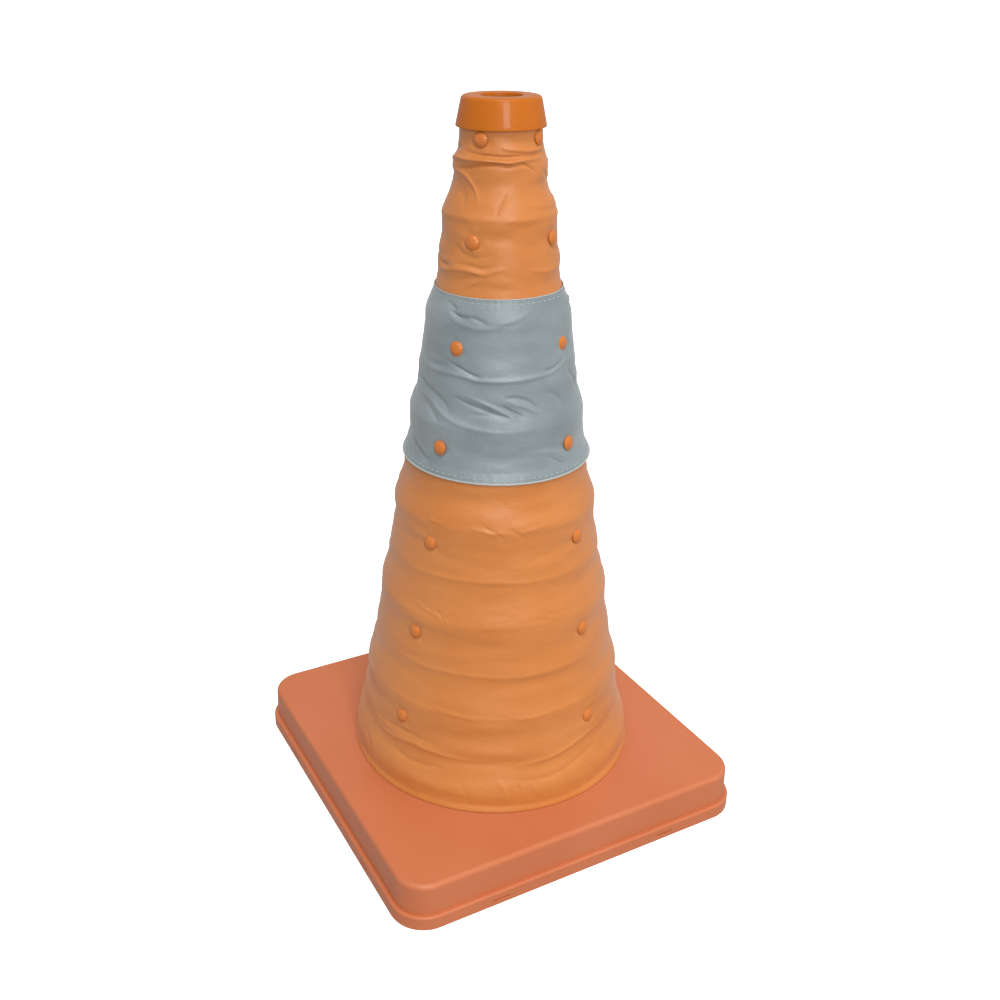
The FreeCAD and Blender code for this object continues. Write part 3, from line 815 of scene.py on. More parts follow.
@dataclass(frozen=True)
class RivetDent:
    """The dent, raised lip and short puckers that a rivet pulls into the cloth, in millimetres.

    Args:
        reach: how far from the rivet it shows.
        depth: of the dent.
        width: of the dent.
        lip: height of the lip, its distance from the rivet and its width.
        pucker: height of the puckers, their distance from the rivet and their width.
        puckers: how many puckers go round.
        turn: where the first pucker is, in radians.
    """

    reach: float = 16.0
    depth: float = 0.5
    width: float = 5.2
    lip: tuple[float, float, float] = (0.26, 7.6, 2.2)
    pucker: tuple[float, float, float] = (0.16, 7.0, 2.6)
    puckers: float = 5.0
    turn: float = 0.8

    def relief(self, across: FloatArray, up: FloatArray) -> FloatArray:
        """How far the cloth moves outwards.

        Args:
            across: millimetres beside the rivet.
            up: millimetres above the rivet.

        Returns:
            Millimetres outwards.
        """
        moved = np.zeros_like(across)
        near = (np.abs(across) < self.reach) & (np.abs(up) < self.reach)
        x, y = across[near], up[near]
        away = np.hypot(x, y)
        turn = np.arctan2(y, x)
        rise, place, width = self.pucker
        pucker = rise * np.sin(self.puckers * turn + self.turn) * np.exp(-(((away - place) / width) ** 2))
        rise, place, width = self.lip
        lip = rise * np.exp(-(((away - place) / width) ** 2)) * (0.5 - 0.5 * np.sin(turn))
        moved[near] = pucker + lip - self.depth * np.exp(-((away / self.width) ** 2))
        return moved


@dataclass
class ClothShape:
    """The one surface that the sleeve and the band follow.

    Args:
        tiers: the tiers from the top down.
        folds: every listed fold.
        seed: start of the random draws for the folds of the back and the fine unevenness.
        thickness: of the cloth.
        clearance: least gap between the cloth and a tier.
        softness: how gradually the cloth comes to lie against a tier.
        sway: how far the cloth leans sideways between the two heights of sway_span.
        sway_fade: millimetres over which the lean starts and stops.
        seam: half width and rise of the sewn seam down the back.
        calm_ends: where the folds have died out, at the cap and at the base.
        calm_fades: millimetres over which they die out.
        rest_radius: where the slack cloth lies on the edge of the base's opening.
        rest_height: height of that edge.
        settle: millimetres over which the cloth comes to lie on it.
        slack: unevenness of the cloth there.
        waves: turns round, rate, phase and size of each wave of the fine unevenness.
    """

    tiers: list[TierLine]
    folds: tuple[Fold, ...]
    seed: int = 17
    thickness: float = 0.35
    clearance: float = 0.08
    softness: float = 0.12
    sway: float = 0.35
    sway_span: tuple[float, float] = (215.0, 370.0)
    sway_fade: float = 30.0
    seam: tuple[float, float] = (3.6, 0.55)
    calm_ends: tuple[float, float] = (433.0, 29.0)
    calm_fades: tuple[float, float] = (6.0, 5.0)
    rest_radius: float = 93.5
    rest_height: float = 30.55
    settle: float = 4.5
    slack: float = 0.22
    dent: RivetDent = RivetDent()
    waves: list[tuple[int, float, float, float]] = field(default_factory=list)

    def __post_init__(self) -> None:
        """Draws the folds of the back and the fine unevenness."""
        draw = random.Random(self.seed)
        for _ in range(26):
            turns = draw.choice((1, 2, 2, 3, 3, 4, 5, 7))
            length = draw.uniform(9.0, 34.0)
            self.waves.append((turns, 2 * math.pi / length, draw.uniform(0, 6.28), draw.uniform(0.02, 0.075)))
        extra = []
        for tier in self.tiers:
            extra += self._loose_folds(tier, draw)
        self.folds = self.folds + tuple(extra)

    def _loose_folds(self, tier: TierLine, draw: random.Random) -> list[Fold]:
        """Folds of one tier's cloth away from the front.

        Args:
            tier: the tier that the cloth hangs from.
            draw: the random draws.

        Returns:
            The folds.
        """
        folds = []
        banded = tier.number in STACK.banded
        for index in range(15 if banded else 10):
            middle = draw.uniform(84.0, 276.0)
            length = draw.uniform(22.0, 60.0) / tier.collar * ARC_DEGREES
            depth = draw.uniform(6.0, 56.0) if banded else draw.uniform(24.0, 57.0)
            slope = draw.uniform(-7.0, 7.0) * (1.4 if banded else 0.6)
            sag = draw.uniform(-1.0, 4.0)
            height = tier.top - depth
            path = tuple(
                (middle + length * t, height + slope * t - sag * (0.25 - t * t))
                for t in (-0.5, -0.2, 0.15, 0.5)
            )
            side = RIDGE if index % 2 else VALLEY
            folds.append(Fold(path, draw.uniform(0.35, 0.85), draw.uniform(1.1, 2.2), side))
        return folds

    def drape(self, height: FloatArray) -> FloatArray:
        """The cloth's radius before any folds.

        Args:
            height: millimetres above the floor.

        Returns:
            Radii in millimetres.
        """
        radius = np.full(height.shape, self.tiers[0].collar + self.tiers[0].drape.start)
        for tier in self.tiers:
            depth = tier.top - height
            drape = tier.drape
            radius += drape.lean * np.clip(depth, 0.0, STACK.pitch)
            for low, high, out in (drape.belly, drape.fall):
                radius += out * ease((depth - low) / (high - low))
        return radius

    def support(self, height: FloatArray) -> FloatArray:
        """Outer radius of the tiers under the cloth.

        Args:
            height: millimetres above the floor.

        Returns:
            Radii in millimetres.
        """
        radius = np.zeros(height.shape)
        rim = STACK.edge_round
        for tier in self.tiers:
            depth = tier.top - height
            foot = tier.top - tier.cut
            run = np.clip((depth - foot) / (STACK.pitch - STACK.flare_stop - foot), 0.0, 1.0)
            edge = rim - np.sqrt(np.clip(rim**2 - np.clip(rim - depth, 0.0, rim) ** 2, 0.0, None))
            here = (depth >= 0.0) & (depth < STACK.pitch + STACK.foot_reach)
            wide = STACK.flare[tier is self.tiers[-1]]
            radius = np.where(here, np.maximum(radius, tier.collar - edge + wide * run), radius)
        return radius

    def relief(self, bearing: FloatArray, height: FloatArray, radius: FloatArray) -> FloatArray:
        """Folds, dents at the rivets and unevenness of the cloth.

        Args:
            bearing: radians from +X.
            height: millimetres above the floor.
            radius: the cloth's radius before folds.

        Returns:
            Millimetres outwards.
        """
        ahead = turned(bearing, FRONT)
        moved = np.zeros_like(radius)
        for turns, rate, phase, size in self.waves:
            moved += size * np.sin(turns * bearing + phase) * np.sin(rate * height + 2.0 * phase)
        low, high = self.sway_span
        start, stop = ease((height - low) / self.sway_fade), ease((high - height) / self.sway_fade)
        moved += self.sway * np.sin(ahead) * start * stop
        for fold in self.folds:
            moved += fold.relief(ahead, height, radius)
        for tier in self.tiers:
            if tier.drape.taut:
                beads = 0.75 + 0.25 * np.sin(5.0 * bearing + tier.number) * np.sin(11.0 * bearing)
                moved += tier.drape.taut * beads * np.exp(-(((height - tier.top + 2.0) / 2.0) ** 2))
            for place in tier.rivet_bearings():
                moved += self.dent.relief(turned(bearing, place) * radius, height - tier.rivet_height)
        moved += self.seam[1] * self.seam_mask(bearing, radius)
        return moved

    def seam_mask(self, bearing: FloatArray, radius: FloatArray) -> FloatArray:
        """1 on the sewn seam down the back and 0 elsewhere."""
        across = np.abs(turned(bearing, FRONT + math.pi)) * radius
        return ease(self.seam[0] - across)

    def radius(self, bearing: FloatArray, height: FloatArray) -> FloatArray:
        """The cloth's outer radius.

        Args:
            bearing: radians from +X.
            height: millimetres above the floor.

        Returns:
            Radii in millimetres.
        """
        smooth = self.drape(height)
        high, low = self.calm_ends
        calm = ease((high - height) / self.calm_fades[0]) * ease((height - low) / self.calm_fades[1])
        radius = smooth + calm * self.relief(bearing, height, smooth)
        least = self.support(height) + self.thickness + self.clearance
        radius = least + self.softness * np.logaddexp(0.0, (radius - least) / self.softness)
        # the slack cloth settles on the edge of the base's opening
        settled = ease((self.rest_height + self.settle - height) / self.settle)
        slack = self.rest_radius + self.slack * np.sin(5.0 * bearing + 1.0) * np.sin(3.0 * bearing)
        return radius * (1.0 - settled) + slack * settled


@dataclass(frozen=True)
class Ply:
    """One stretch of cloth, from a height down to another, in millimetres.

    Args:
        name: the piece's name.
        high: its upper end.
        low: its lower end.
        rise: height of one row of its mesh.
        lift: how far it lies outside the sleeve's face, for a bearing and a height.
        thickness: of the cloth.
        tail: more rows under the last, as radii and heights.
    """

    name: str
    high: float
    low: float
    rise: float = 1.0
    lift: Callable[[FloatArray, FloatArray], FloatArray] | None = None
    thickness: float = 0.35
    tail: tuple[tuple[float, float], ...] = ()


def finished(name: str, bm: bmesh.types.BMesh, finish: bpy.types.Material) -> bpy.types.Object:
    """Makes a smooth object of a bmesh, with its finish.

    Args:
        name: the piece's name.
        bm: the mesh, which is freed.
        finish: its material.

    Returns:
        The object.
    """
    for face in bm.faces:
        face.smooth = True
    mesh = bpy.data.meshes.new(name)
    bm.to_mesh(mesh)
    bm.free()
    mesh.materials.append(finish)
    piece = bpy.data.objects.new(name, mesh)
    bpy.context.scene.collection.objects.link(piece)
    return piece


def add_chain(bm: bmesh.types.BMesh, points: Iterable[tuple[float, float]], closed: bool) -> None:
    """Adds a line of vertices in the XZ plane, ready to spin.

    Args:
        bm: the mesh.
        points: radii and heights in millimetres.
        closed: whether the last vertex joins the first.
    """
    verts = [bm.verts.new((r * MM, 0.0, z * MM)) for r, z in points]
    pairs = list(zip(verts[:-1], verts[1:]))
    if closed:
        pairs.append((verts[-1], verts[0]))
    for pair in pairs:
        bm.edges.new(pair)


def spin_round(bm: bmesh.types.BMesh, steps: int, axis: Sequence[float] = (0.0, 0.0, 1.0)) -> None:
    """Spins everything in the mesh once round an axis through the origin.

    Args:
        bm: the mesh.
        steps: how many steps make the turn.
        axis: direction of the axis.
    """
    geom = bm.verts[:] + bm.edges[:]
    bmesh.ops.spin(
        bm,
        geom=geom,
        cent=(0.0, 0.0, 0.0),
        axis=axis,
        angle=2.0 * math.pi,
        steps=steps,
        use_merge=True,
    )
    bmesh.ops.remove_doubles(bm, verts=bm.verts[:], dist=1e-7)
    bmesh.ops.recalc_face_normals(bm, faces=bm.faces[:])


@dataclass
class ClothMaker:
    """Turns stretches of the cloth's shape into pieces with a real thickness.

    Args:
        shape: the surface that every stretch follows.
        columns: vertices round the cone.
    """

    shape: ClothShape
    columns: int = 384

    def _rows(self, ply: Ply) -> list[float]:
        """Heights of a stretch's rows, from the top down."""
        count = max(2, round((ply.high - ply.low) / ply.rise))
        return [ply.high + (ply.low - ply.high) * n / count for n in range(count + 1)]

    def _surface(self, ply: Ply, rows: Sequence[float]) -> tuple[FloatArray, FloatArray]:
        """Outer points and normals on the grid of rows and columns.

        Args:
            ply: the stretch.
            rows: heights of its rows.

        Returns:
            The points and the normals, both in metres.
        """
        step = 0.5
        padded = np.array([rows[0] + step, *rows, rows[-1] - step])
        bearing = FRONT + math.pi + 2.0 * math.pi * np.arange(self.columns) / self.columns
        b, z = np.meshgrid(bearing, padded)
        radius = self.shape.radius(b, z)
        if ply.lift is not None:
            radius = radius + ply.lift(b, z)
        points = np.stack([radius * np.cos(b), radius * np.sin(b), z], axis=-1)
        across = np.roll(points, -1, axis=1) - np.roll(points, 1, axis=1)
        up = points[:-2] - points[2:]
        normals = np.cross(across[1:-1], up)
        normals /= np.linalg.norm(normals, axis=-1, keepdims=True)
        points = points[1:-1]
        line = [(float(radius[-2].mean()), ply.low), *ply.tail]
        for before, here, after in zip(line, ply.tail, [*ply.tail[1:], *ply.tail[-1:]]):
            ring = self._ring(bearing, *here)
            run, fall = after[0] - before[0], before[1] - after[1]
            away = self._ring(bearing, fall, run) / math.hypot(run, fall)
            points = np.concatenate([points, ring[None]])
            normals = np.concatenate([normals, away[None]])
        return points * MM, normals

    def _ring(self, bearing: FloatArray, reach: float, height: float) -> FloatArray:
        """Points or directions round the axis, with one reach and one height."""
        heights = np.full(bearing.shape, height)
        return np.stack([reach * np.cos(bearing), reach * np.sin(bearing), heights], axis=-1)

    def make(self, ply: Ply, finish: bpy.types.Material) -> bpy.types.Object:
        """Builds one stretch as a closed shell.

        Args:
            ply: the stretch.
            finish: its material.

        Returns:
            The piece.
        """
        rows = self._rows(ply)
        points, normals = self._surface(ply, rows)
        count = len(points)
        piece = finished(ply.name, self._sock(count), finish)
        mesh = piece.data
        flat = np.empty(len(mesh.vertices) * 3, np.float32)
        mesh.vertices.foreach_get("co", flat)
        co = flat.reshape(-1, 3).astype(float)
        row = np.rint(-co[:, 2]).astype(int)
        outer = np.hypot(co[:, 0], co[:, 1]) > 1.5
        turn = (np.arctan2(co[:, 1], co[:, 0]) - FRONT - math.pi) % (2.0 * math.pi)
        column = np.rint(turn / (2.0 * math.pi) * self.columns).astype(int) % self.columns
        normal = normals[row, column]
        place = points[row, column] - np.where(outer, 0.0, ply.thickness * MM)[:, None] * normal
        mesh.vertices.foreach_set("co", place.ravel().astype(np.float32))
        self._map_cloth(mesh, points, row, column)
        mesh.update()
        mesh.normals_split_custom_set_from_vertices((normal * np.where(outer, 1.0, -1.0)[:, None]).tolist())
        return piece

    def _sock(self, count: int) -> bmesh.types.BMesh:
        """A grid closed round the cone and round the cloth's thickness.

        Its outer rows lie at radius 2 and its inner ones at radius 1, and a vertex's height is minus its row.

        Args:
            count: rows on each side of the cloth.

        Returns:
            The mesh.
        """
        bm = bmesh.new()
        bmesh.ops.create_grid(bm, x_segments=self.columns, y_segments=2 * count, size=0.5)
        for vert in bm.verts:
            turn = FRONT + math.pi + 2.0 * math.pi * (vert.co.x + 0.5)
            ring = round((vert.co.y + 0.5) * 2 * count) % (2 * count)
            reach, row = (2.0, ring) if ring < count else (1.0, 2 * count - 1 - ring)
            vert.co = (reach * math.cos(turn), reach * math.sin(turn), -row)
        bmesh.ops.remove_doubles(bm, verts=bm.verts[:], dist=1e-5)
        bmesh.ops.recalc_face_normals(bm, faces=bm.faces[:])
        return bm

    def _map_cloth(
        self, mesh: bpy.types.Mesh, points: FloatArray, row: FloatArray, column: FloatArray
    ) -> None:
        """Lays the weave's coordinates on a stretch, in metres round it and down it.

        Args:
            mesh: the stretch's mesh.
            points: its outer points by row and column.
            row: each vertex's row.
            column: each vertex's column.
        """
        middle = points[len(points) // 2]
        girth = 2.0 * math.pi * float(np.hypot(middle[:, 0], middle[:, 1]).mean())
        first = points[:, 0]
        down = np.concatenate([[0.0], np.cumsum(np.linalg.norm(np.diff(first, axis=0), axis=1))])
        corner = np.empty(len(mesh.loops), np.int32)
        mesh.loops.foreach_get("vertex_index", corner)
        columns = column[corner].reshape(-1, 4)
        wraps = (columns.max(axis=1) - columns.min(axis=1)) > self.columns / 2
        columns = np.where(wraps[:, None] & (columns < self.columns / 2), columns + self.columns, columns)
        uv = np.stack([columns.ravel() / self.columns * girth, down[row[corner]]], axis=-1)
        layer = mesh.uv_layers.new(name=CLOTH_UV)
        layer.data.foreach_set("uv", uv.ravel().astype(np.float32))

    def cut_size(self, ply: Ply, hem: float = 0.0) -> tuple[tuple[float, float], float]:
        """What a stretch is cut to before it is sewn into a cone.

        Args:
            ply: the stretch.
            hem: millimetres more cloth below its lower end.

        Returns:
            The girth of its lower end and its slant length in metres, and its area in square metres.
        """
        upper, lower = (float(r) for r in self.shape.drape(np.array([ply.high, ply.low])))
        slant = math.hypot(ply.high - ply.low, lower - upper)
        area = math.pi * (upper + lower) * slant + 2.0 * math.pi * lower * hem
        log.info("%s: cut %.0f mm round and %.1f mm long", ply.name, 2.0 * math.pi * lower, slant + hem)
        return (2.0 * math.pi * lower * MM, (slant + hem) * MM), area * MM * MM


# ---- sewing ----


@dataclass(frozen=True)
class Stitching:
    """One row of lockstitches.

    Args:
        pitch: from one stitch to the next, in millimetres.
        length: of the thread that shows.
        width: of the thread.
    """

    pitch: float = 4.0
    length: float = 2.7
    width: float = 0.46

    def add(self, bm: bmesh.types.BMesh, place: Vector, along: Vector, out: Vector) -> None:
        """Adds one stitch.

        Args:
            bm: the mesh that it joins.
            place: its middle in metres.
            along: its direction.
            out: direction out of the cloth.
        """
        along = along.normalized()
        side = out.cross(along).normalized()
        out = along.cross(side).normalized()
        turn = Matrix((along, side, out)).transposed().to_4x4()
        size = Matrix.Diagonal((self.length / 2 * MM, self.width / 2 * MM, self.width / 2 * MM, 1.0))
        bmesh.ops.create_uvsphere(
            bm, u_segments=8, v_segments=6, radius=1.0, matrix=Matrix.Translation(place) @ turn @ size
        )


@dataclass
class Seamstress:
    """Sews rows of stitches and edgings onto the cloth.

    Args:
        shape: the surface of the cloth.
        stitching: the kind of stitch.
        upward: how much the cloth faces upwards, for one part outwards.
        onward: how far ahead a row of stitches looks, in radians round the cone or millimetres down it.
    """

    shape: ClothShape
    stitching: Stitching = Stitching()
    upward: float = 0.15
    onward: tuple[float, float] = (0.02, 1.0)

    def _sew(
        self, bm: bmesh.types.BMesh, bearings: FloatArray, places: list[Vector], onwards: list[Vector]
    ) -> None:
        """Adds a stitch at every place, pointing onwards.

        Args:
            bm: the mesh that the stitches join.
            bearings: radians from +X.
            places: the stitches' middles in metres.
            onwards: a point farther along the row for each.
        """
        for bearing, place, onward in zip(bearings, places, onwards):
            out = Vector((math.cos(bearing), math.sin(bearing), self.upward))
            self.stitching.add(bm, place, onward - place, out)

    def points(self, bearings: FloatArray, heights: FloatArray, lift: float) -> list[Vector]:
        """Points on or above the cloth.

        Args:
            bearings: radians from +X.
            heights: millimetres above the floor.
            lift: millimetres out of the sleeve's face.

        Returns:
            The points in metres.
        """
        radii = self.shape.radius(bearings, heights) + lift
        rows = np.stack([radii * np.cos(bearings), radii * np.sin(bearings), heights], axis=-1) * MM
        return [Vector(row) for row in rows]

    def ring(self, bm: bmesh.types.BMesh, height: float, lift: float) -> None:
        """Sews round the cone at one height.

        Args:
            bm: the mesh that the stitches join.
            height: millimetres above the floor.
            lift: millimetres out of the sleeve's face.
        """
        radius = float(self.shape.drape(np.array([height]))[0]) + lift
        count = round(2.0 * math.pi * radius / self.stitching.pitch)
        bearings = 2.0 * math.pi * np.arange(count) / count
        heights = np.full(count, height)
        places = self.points(bearings, heights, lift)
        self._sew(bm, bearings, places, self.points(bearings + self.onward[0], heights, lift))

    def back(self, bm: bmesh.types.BMesh, offset: float, high: float, low: float, lift: float) -> None:
        """Sews down the back of the cone.

        Args:
            bm: the mesh that the stitches join.
            offset: millimetres beside the seam.
            high: upper end.
            low: lower end.
            lift: millimetres out of the sleeve's face.
        """
        count = max(1, int((high - low) / self.stitching.pitch))
        heights = high - (np.arange(count) + 0.5) * (high - low) / count
        bearings = FRONT + math.pi + offset / self.shape.drape(heights)
        places = self.points(bearings, heights, lift)
        self._sew(bm, bearings, places, self.points(bearings, heights - self.onward[1], lift))

    def edging(self, height: float, lift: float, tube: float, steps: int = 256) -> bmesh.types.BMesh:
        """A round edging that follows the cloth at one height.

        Args:
            height: millimetres above the floor.
            lift: millimetres from the sleeve's face to the tube's middle.
            tube: radius of the tube.
            steps: steps round the cone.

        Returns:
            The mesh.
        """
        bm = bmesh.new()
        sides = 10
        rim = [2.0 * math.pi * n / sides for n in range(sides)]
        # a blank ring of 1 m with a tube of 0.1 m, which is then laid on the cloth
        add_chain(bm, [(1000.0 + 100.0 * math.cos(t), 100.0 * math.sin(t)) for t in rim], closed=True)
        spin_round(bm, steps)
        bearings = np.array([math.atan2(vert.co.y, vert.co.x) for vert in bm.verts])
        middles = self.points(bearings, np.full(len(bearings), height), lift)
        for vert, bearing, middle in zip(bm.verts, bearings, middles):
            out = (vert.co.xy.length - 1.0) * 10.0 * tube
            up = vert.co.z * 10.0 * tube
            radius = middle.xy.length + out * MM
            vert.co = (radius * math.cos(bearing), radius * math.sin(bearing), middle.z + up * MM)
        return bm


# ---- sub-assemblies ----


@dataclass
class Sleeve:
    """The riveted cloth sleeve, in one stretch for each gap between tiers.

    Args:
        maker: turns stretches into pieces.
        sewing: sews the back seam.
        palette: the finishes.
        top: height of the sleeve's upper end, under the cap.
        skirt_foot: height where the skirt turns in under the base's opening.
        hem: radii and heights of the turned-in cloth.
        hem_width: how long the turned-in cloth is.
        seam_stitch: from the back seam's middle to each row of stitches.
        seam_stop: from the skirt's foot up to its last stitch.
        thread_lift: how far the threads lie off the cloth.
        base_top: height of the base's upper face.
        rises: height of one row of the mesh at the top, under tier 1, on the other gaps and on the skirt.
    """

    maker: ClothMaker
    sewing: Seamstress
    palette: Palette
    top: float = 436.2
    skirt_foot: float = 30.55
    hem: tuple[tuple[float, float], ...] = (
        (93.05, 30.17),
        (92.55, 29.90),
        (92.18, 29.30),
        (92.10, 28.30),
        (92.60, 27.45),
        (94.00, 27.30),
        (98.80, 27.30),
    )
    hem_width: float = 9.5
    seam_stitch: float = 2.1
    seam_stop: float = 4.0
    thread_lift: float = 0.05
    base_top: float = 31.0
    rises: tuple[float, float, float, float] = (0.7, 0.6, 0.95, 0.8)

    def build(self) -> list[bpy.types.Object]:
        """Builds every stretch, with its back seam."""
        tiers = self.maker.shape.tiers
        made = []
        ply = Ply("cloth_top", self.top, tiers[0].cut, self.rises[0])
        first = self.maker.make(ply, self.palette.sleeve)
        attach(first, tiers[0].body)
        made.append(self._declare(first, ply, "sleeve_top", tiers[0].body))
        for upper, lower in zip(tiers[:-1], tiers[1:]):
            name = f"{upper.number}_{lower.number}"
            rise = self.rises[1] if upper is tiers[0] else self.rises[2]
            ply = Ply(f"cloth_{name}", upper.cut, lower.cut, rise)
            piece = self.maker.make(ply, self.palette.sleeve)
            stitches = self._back_seam(f"back_seam_{name}", upper.cut, lower.cut)
            for item in (piece, stitches):
                upper.cut * MM
                lower.top * MM
                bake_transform(item)
            made.append(self._declare(piece, ply, f"sleeve_{name}", lower.body, stitches))
        last = tiers[-1]
        ply = Ply("cloth_skirt", last.cut, self.skirt_foot, self.rises[3], tail=self.hem)
        skirt = self.maker.make(ply, self.palette.sleeve)
        stitches = self._back_seam("back_seam_skirt", last.cut, self.skirt_foot + self.seam_stop)
        for item in (skirt, stitches):
            last.cut * MM
            self.base_top * MM
            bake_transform(item)
        made.append(self._declare(skirt, ply, "sleeve_skirt", "base_cover", stitches))
        return made

    def _back_seam(self, name: str, high: float, low: float) -> bpy.types.Object:
        """Two rows of stitches down the back of one stretch."""
        bm = bmesh.new()
        for side in (-1.0, 1.0):
            self.sewing.back(bm, side * self.seam_stitch, high, low, self.thread_lift)
        return finished(name, bm, self.palette.orange_thread)

    def _declare(
        self, piece: bpy.types.Object, ply: Ply, node: str, rests: str, *sewn: bpy.types.Object
    ) -> bpy.types.Object:
        """Hides the CAD node that a stretch stands for and logs what it was cut to."""
        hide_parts(node)
        flat, area = self.maker.cut_size(ply, self.hem_width if ply.tail else 0.0)
        return piece


@dataclass
class ReflectiveBand:
    """The reflective band with its turned upper hem, its piped lower hem and its stitches.

    Args:
        maker: turns stretches into pieces.
        sewing: sews the hems.
        palette: the finishes.
        top: height of the band's upper edge.
        foot: height of its lower edge.
        gap: from the sleeve's face to the band's.
        hem: width of the doubled cloth at both edges.
        hem_rise: how much thicker a hem is.
        hem_step: half the width of the step at a hem.
        top_flare: how far the upper edge stands off and the height of that flare.
        foot_flare: the same of the lower edge.
        gather: size of the gathers on the hems and how many go round.
        turn_in: cloth that is turned in at each edge.
        stitch_in: from an edge to its row of stitches.
        seam_stitch: from the back seam's middle to each row of stitches.
        seam_ends: from a stretch's upper and lower ends to its back stitches.
        thread_lift: how far the threads of the back seam and of the hems lie off the cloth.
        top_edging: rise, lift and radius of the turned upper edge.
        foot_edging: the same of the piped lower edge.
    """

    maker: ClothMaker
    sewing: Seamstress
    palette: Palette
    top: float = 344.0
    foot: float = 239.6
    gap: float = 0.42
    hem: float = 5.0
    hem_rise: float = 0.22
    hem_step: float = 0.6
    top_flare: tuple[float, float] = (0.12, 4.0)
    foot_flare: tuple[float, float] = (0.75, 7.0)
    gather: tuple[float, float] = (0.06, 59.0)
    turn_in: float = 1.2
    stitch_in: float = 2.6
    seam_stitch: float = 2.1
    seam_ends: tuple[float, float] = (2.0, 1.0)
    thread_lift: tuple[float, float] = (0.05, 0.02)
    top_edging: tuple[float, float, float] = (0.05, -0.15, 0.32)
    foot_edging: tuple[float, float, float] = (0.1, -0.05, 0.55)

    def lift(self, bearing: FloatArray, height: FloatArray) -> FloatArray:
        """How far the band's face lies outside the sleeve's.

        Args:
            bearing: radians from +X.
            height: millimetres above the floor.

        Returns:
            Millimetres.
        """
        upper = ease((height - self.top + self.hem + self.hem_step) / (2.0 * self.hem_step))
        lower = ease((self.foot + self.hem + self.hem_step - height) / (2.0 * self.hem_step))
        (foot_out, foot_run), (top_out, top_run) = self.foot_flare, self.top_flare
        flare = foot_out * ease((self.foot + foot_run - height) / foot_run)
        flare = flare + top_out * ease((height - self.top + top_run) / top_run)
        gathers = self.gather[0] * np.sin(self.gather[1] * bearing) * (upper + lower)
        return self.gap + self.hem_rise * (upper + lower) + flare + gathers

    def build(self) -> list[bpy.types.Object]:
        """Builds the band's three stretches, its hems and its stitches."""
        tiers = {tier.number: tier for tier in self.maker.shape.tiers}
        made = []
        parts = (
            ("upper", self.top, tiers[3].cut, 2, 3),
            ("middle", tiers[3].cut, tiers[4].cut, 3, 4),
            ("lower", tiers[4].cut, self.foot, 4, 5),
        )
        for name, high, low, above, below in parts:
            ply = Ply(f"reflective_{name}", high, low, 0.95, self.lift)
            piece = self.maker.make(ply, self.palette.band)
            trims = self._trims(name, high, low)
            for item in [piece, *trims]:
                start, end = (0, 0, tiers[above].cut * MM), (0, 0, tiers[below].top * MM)
                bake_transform(item)
            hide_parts(f"band_{name}")
            flat, area = self.maker.cut_size(ply, 0.0 if name == "middle" else self.turn_in)
            made.append(piece)
        return made

    def _trims(self, name: str, high: float, low: float) -> list[bpy.types.Object]:
        """Hem stitches, edging and back stitches of one stretch."""

        def at(height: float) -> float:
            """The band's lift at one height."""
            return float(self.lift(np.array([0.0]), np.array([height]))[0])

        threads = bmesh.new()
        start, stop = high - self.seam_ends[0], low + self.seam_ends[1]
        for side in (1.0, -1.0):
            self.sewing.back(threads, side * self.seam_stitch, start, stop, self.gap + self.thread_lift[0])
        edges = {
            "upper": ("turned_hem_edge", self.top, self.top - self.stitch_in, self.top_edging),
            "lower": ("piped_hem_edge", self.foot, self.foot + self.stitch_in, self.foot_edging),
        }
        trims = []
        if name in edges:
            label, end, line, (rise, lift, tube) = edges[name]
            self.sewing.ring(threads, line, at(line) + self.thread_lift[1])
            edge = self.sewing.edging(end + rise, at(end) + lift, tube)
            trims.append(finished(label, edge, self.palette.piping))
        trims.append(finished(f"band_stitches_{name}", threads, self.palette.white_thread))
        return trims


